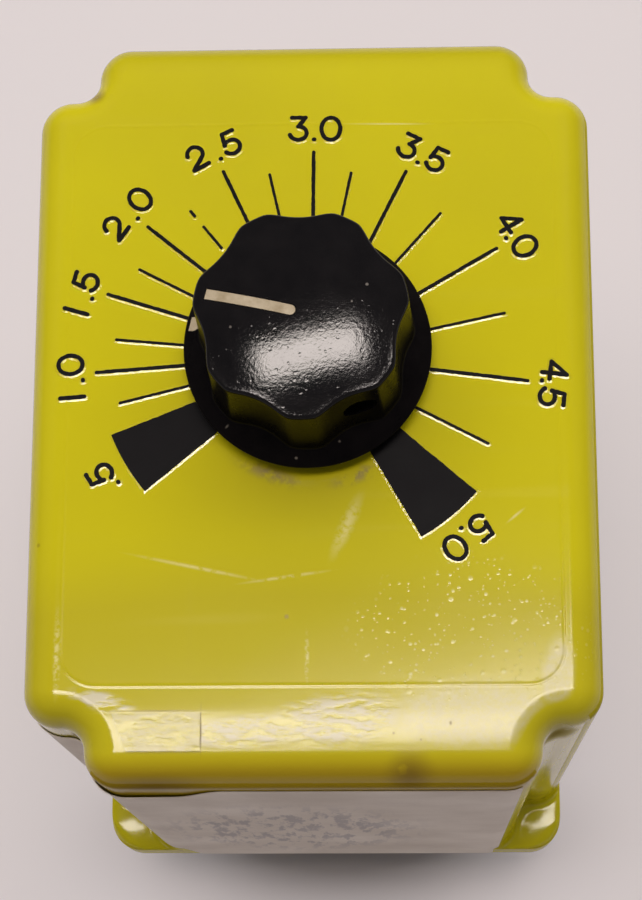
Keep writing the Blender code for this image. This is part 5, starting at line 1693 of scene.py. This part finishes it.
def two_tone(name, first, second, tone_scale, grain_scale, roughness, bump, metallic=0.0):
    """A plain finish whose tone wanders between two colours."""
    made, tree, shader = new_finish(name, roughness, metallic)
    grain = use_group(tree, GRAIN, tone_scale=tone_scale, grain_scale=grain_scale)
    tree.links.new(mix_colours(tree, grain.outputs["Tone"], first, second), shader.inputs["Base Color"])
    varied = do_math(tree, "MULTIPLY", grain.outputs["Tone"], roughness * ROUGH_SWING)
    tree.links.new(do_math(tree, "ADD", varied, roughness * ROUGH_BASE), shader.inputs["Roughness"])
    add_bump(tree, shader, grain.outputs["Height"], bump, GRAIN_BUMP)
    return made


def label_finish():
    """Aged label stock, stained and rubbed, with nothing written on it."""
    made, tree, shader = new_finish("label_stock")
    grain = use_group(tree, GRAIN, tone_scale=120.0, grain_scale=3000.0)
    stained = do_math(tree, "MULTIPLY", grain.outputs["Tone"], STAIN_SHARE)
    colour = mix_colours(tree, stained, LABEL_PALE, LABEL_STAIN)
    marks = noise_value(tree, stretched(tree, SMUDGE_STRETCH), SMUDGE_SCALE, 3.0, 0.65)
    marks = map_range(tree, marks, *SMUDGE_RANGE)
    rubbed = do_math(tree, "MULTIPLY", strong(tree, RUBBED), marks)
    colour = mix_colours(tree, rubbed, colour, LABEL_SMUDGE)
    tree.links.new(colour, shader.inputs["Base Color"])
    rough = map_range(tree, grain.outputs["Tone"], 0.0, 1.0, *LABEL_ROUGHNESS)
    tree.links.new(rough, shader.inputs["Roughness"])
    add_bump(tree, shader, grain.outputs["Height"], 0.2, LABEL_BUMP)
    return made


inlay_pale = two_tone("inlay_pale", INLAY_PALE, INLAY_DIRT, 900.0, 3000.0, 0.5, 0.3)
stamp_black = two_tone("stamp_black", INK_BLACK, INK_GREY, 350.0, 1500.0, 0.45, 0.15)
lip_yellow = two_tone("lip_yellow", YELLOW_LIGHT, YELLOW_DEEP, 300.0, 3200.0, 0.08, 0.9)
label_stock = label_finish()
for material, shine in ((stamp_black, INK_SHINE), (lip_yellow, LIP_SHINE)):
    set_shine(material.node_tree.nodes["Principled BSDF"], shine)
for piece, material in (
    (pointer_inlay, inlay_pale),
    (skirt_inlay, inlay_pale),
    (stamp_ink, stamp_black),
    (stamp_lip, lip_yellow),
    (front_label, label_stock),
):
    wear(piece, material)
print("finishes", inlay_pale.name, stamp_black.name, lip_yellow.name, label_stock.name)

# %% [markdown]
# ## Finishes for the pieces underneath and inside
# The plug, the pins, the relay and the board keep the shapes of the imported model. They get finishes by what
# they are made of: metals with a drawn grain, moulded phenolic, board, nylon and wire.

# %% Finishes of the carried-over pieces
# Each finish: its two tones, its roughness, and whether it is a metal.
FINISH_COLOURS = {
    "phenolic_black": ((0.030, 0.024, 0.020), (0.018, 0.014, 0.012), 0.42, 0.0),
    "brown_board": ((0.22, 0.12, 0.05), (0.15, 0.08, 0.035), 0.55, 0.0),
    "nickel": ((0.60, 0.57, 0.52), (0.45, 0.42, 0.37), 0.30, 1.0),
    "zinc_steel": ((0.55, 0.55, 0.54), (0.40, 0.40, 0.38), 0.36, 1.0),
    "brass": ((0.62, 0.45, 0.18), (0.44, 0.30, 0.11), 0.32, 1.0),
    "copper_wire": ((0.55, 0.20, 0.08), (0.40, 0.13, 0.05), 0.36, 1.0),
    "silver_contact": ((0.70, 0.68, 0.63), (0.52, 0.50, 0.45), 0.30, 1.0),
    "board_green": ((0.06, 0.20, 0.08), (0.045, 0.15, 0.06), 0.40, 0.0),
    "chip_black": ((0.022, 0.021, 0.021), (0.015, 0.015, 0.015), 0.50, 0.0),
    "film_red": ((0.40, 0.07, 0.03), (0.30, 0.05, 0.02), 0.38, 0.0),
    "can_blue": ((0.05, 0.10, 0.30), (0.035, 0.07, 0.22), 0.36, 0.0),
    "resistor_tan": ((0.50, 0.38, 0.24), (0.40, 0.30, 0.18), 0.50, 0.0),
    "nylon_white": ((0.70, 0.68, 0.60), (0.60, 0.57, 0.48), 0.48, 0.0),
    "lead_red": ((0.45, 0.03, 0.03), (0.34, 0.02, 0.02), 0.44, 0.0),
}
# Each finish, with how the names of its nodes start.
CARRIED_OVER = {
    "phenolic_black": ("octal_plug", "base_plate", "contact_block"),
    "brown_board": ("pot_wafer", "contact_carrier"),
    "nickel": ("plug_pin", "pot_nut", "pot_can", "pot_lug"),
    "zinc_steel": (
        "cover_screw", "relay_yoke", "relay_core", "relay_screw", "armature", "return_spring", "pot_washer",
        "knob_set_screw",
    ),
    "brass": ("plug_rivet", "pot_bushing", "pot_shaft"),
    "copper_wire": ("coil_winding",),
    "silver_contact": ("contact_no", "contact_nc", "moving_contact"),
    "board_green": ("main_board",),
    "chip_black": ("timing_chip", "rectifier", "driver_transistor", "pot_wiper"),
    "film_red": ("timing_capacitor",),
    "can_blue": ("filter_capacitor",),
    "resistor_tan": ("dropper_resistor",),
    "nylon_white": ("coil_bobbin",),
    "lead_red": ("pot_lead",),
}
PLAIN_GRAIN = (260.0, 2200.0)
PLAIN_BUMP = 0.15
finishes = {}
for name, (first, second, roughness, metallic) in FINISH_COLOURS.items():
    tones = ((*first, 1.0), (*second, 1.0))
    finishes[name] = two_tone(name + "_finish", *tones, *PLAIN_GRAIN, roughness, PLAIN_BUMP, metallic)
dressed = 0
for name, starts in CARRIED_OVER.items():
    for node, piece in nodes.items():
        if node.startswith(starts) and not piece.hide_render:
            wear(piece, finishes[name])
            dressed += 1
print("dressed", dressed, "carried-over nodes")

# %% [markdown]
# ## The table top
# The table is a plain pale sheet. A brighter lamp would make it as pale as it should be, but it would also
# bleach the timer. So part of its brightness is its own wherever it is seen, and that share fades out under
# and in front of the timer, which leaves the shadow there. From below the sheet is clear, so that the plug
# can be looked at.

# %% Floor finish
FLOOR_COLOUR = (0.70, 0.645, 0.65, 1.0)
FLOOR_DULL = (0.68, 0.625, 0.63, 1.0)
FLOOR_SEEN = (0.77, 0.70, 0.70, 1.0)
SEEN_SHARE = 0.48
FRONT_SHADOW = ((0.0, -27.0, 0.0), (36.0, 12.0, 50.0), 0.0, 0.0, 500.0)
FRONT_SHADE = 1.3
UNDER_SHADOWS = (
    ((0.0, -16.0, 0.0), (29.0, 18.0, 50.0), 0.0, 0.0, 500.0),
    ((0.0, 6.0, 0.0), (29.0, 27.0, 50.0), 0.0, 0.0, 500.0),
)


def floor_finish():
    """A plain pale table top, partly lit by itself where it is seen, and clear from below."""
    made, tree, shader = new_finish("pale_table", 0.6)
    grain = use_group(tree, GRAIN, tone_scale=6.0, grain_scale=900.0)
    colour = mix_colours(tree, grain.outputs["Tone"], FLOOR_COLOUR, FLOOR_DULL)
    tree.links.new(colour, shader.inputs["Base Color"])
    seen = seen_rays(tree)
    shaded = do_math(tree, "MULTIPLY", spot(tree, *FRONT_SHADOW), FRONT_SHADE, clamp=True)
    shaded = most_of(tree, [shaded] + [strong(tree, values) for values in UNDER_SHADOWS])
    shaded = do_math(tree, "MULTIPLY", shaded, SEEN_SHARE)
    open_floor = do_math(tree, "SUBTRACT", SEEN_SHARE, shaded)
    glow = add_node(tree, "ShaderNodeEmission", inputs={"Color": FLOOR_SEEN})
    clear = add_node(tree, "ShaderNodeBsdfTransparent")
    below = add_node(tree, "ShaderNodeNewGeometry").outputs["Backfacing"]
    surface = shader
    for share, other in ((do_math(tree, "MULTIPLY", seen, open_floor), glow), (below, clear)):
        mixed = add_node(tree, "ShaderNodeMixShader")
        for socket, output in zip(mixed.inputs, (share, surface.outputs[0], other.outputs[0])):
            tree.links.new(output, socket)
        surface = mixed
    tree.links.new(surface.outputs[0], tree.nodes["Material Output"].inputs["Surface"])
    return made


wear(floor, floor_finish())
print("floor finished")

# %% [markdown]
# ## Finishing the scene
# The last cell clears the selection, which finishes the scene.

# %% Finish
clear_selection()
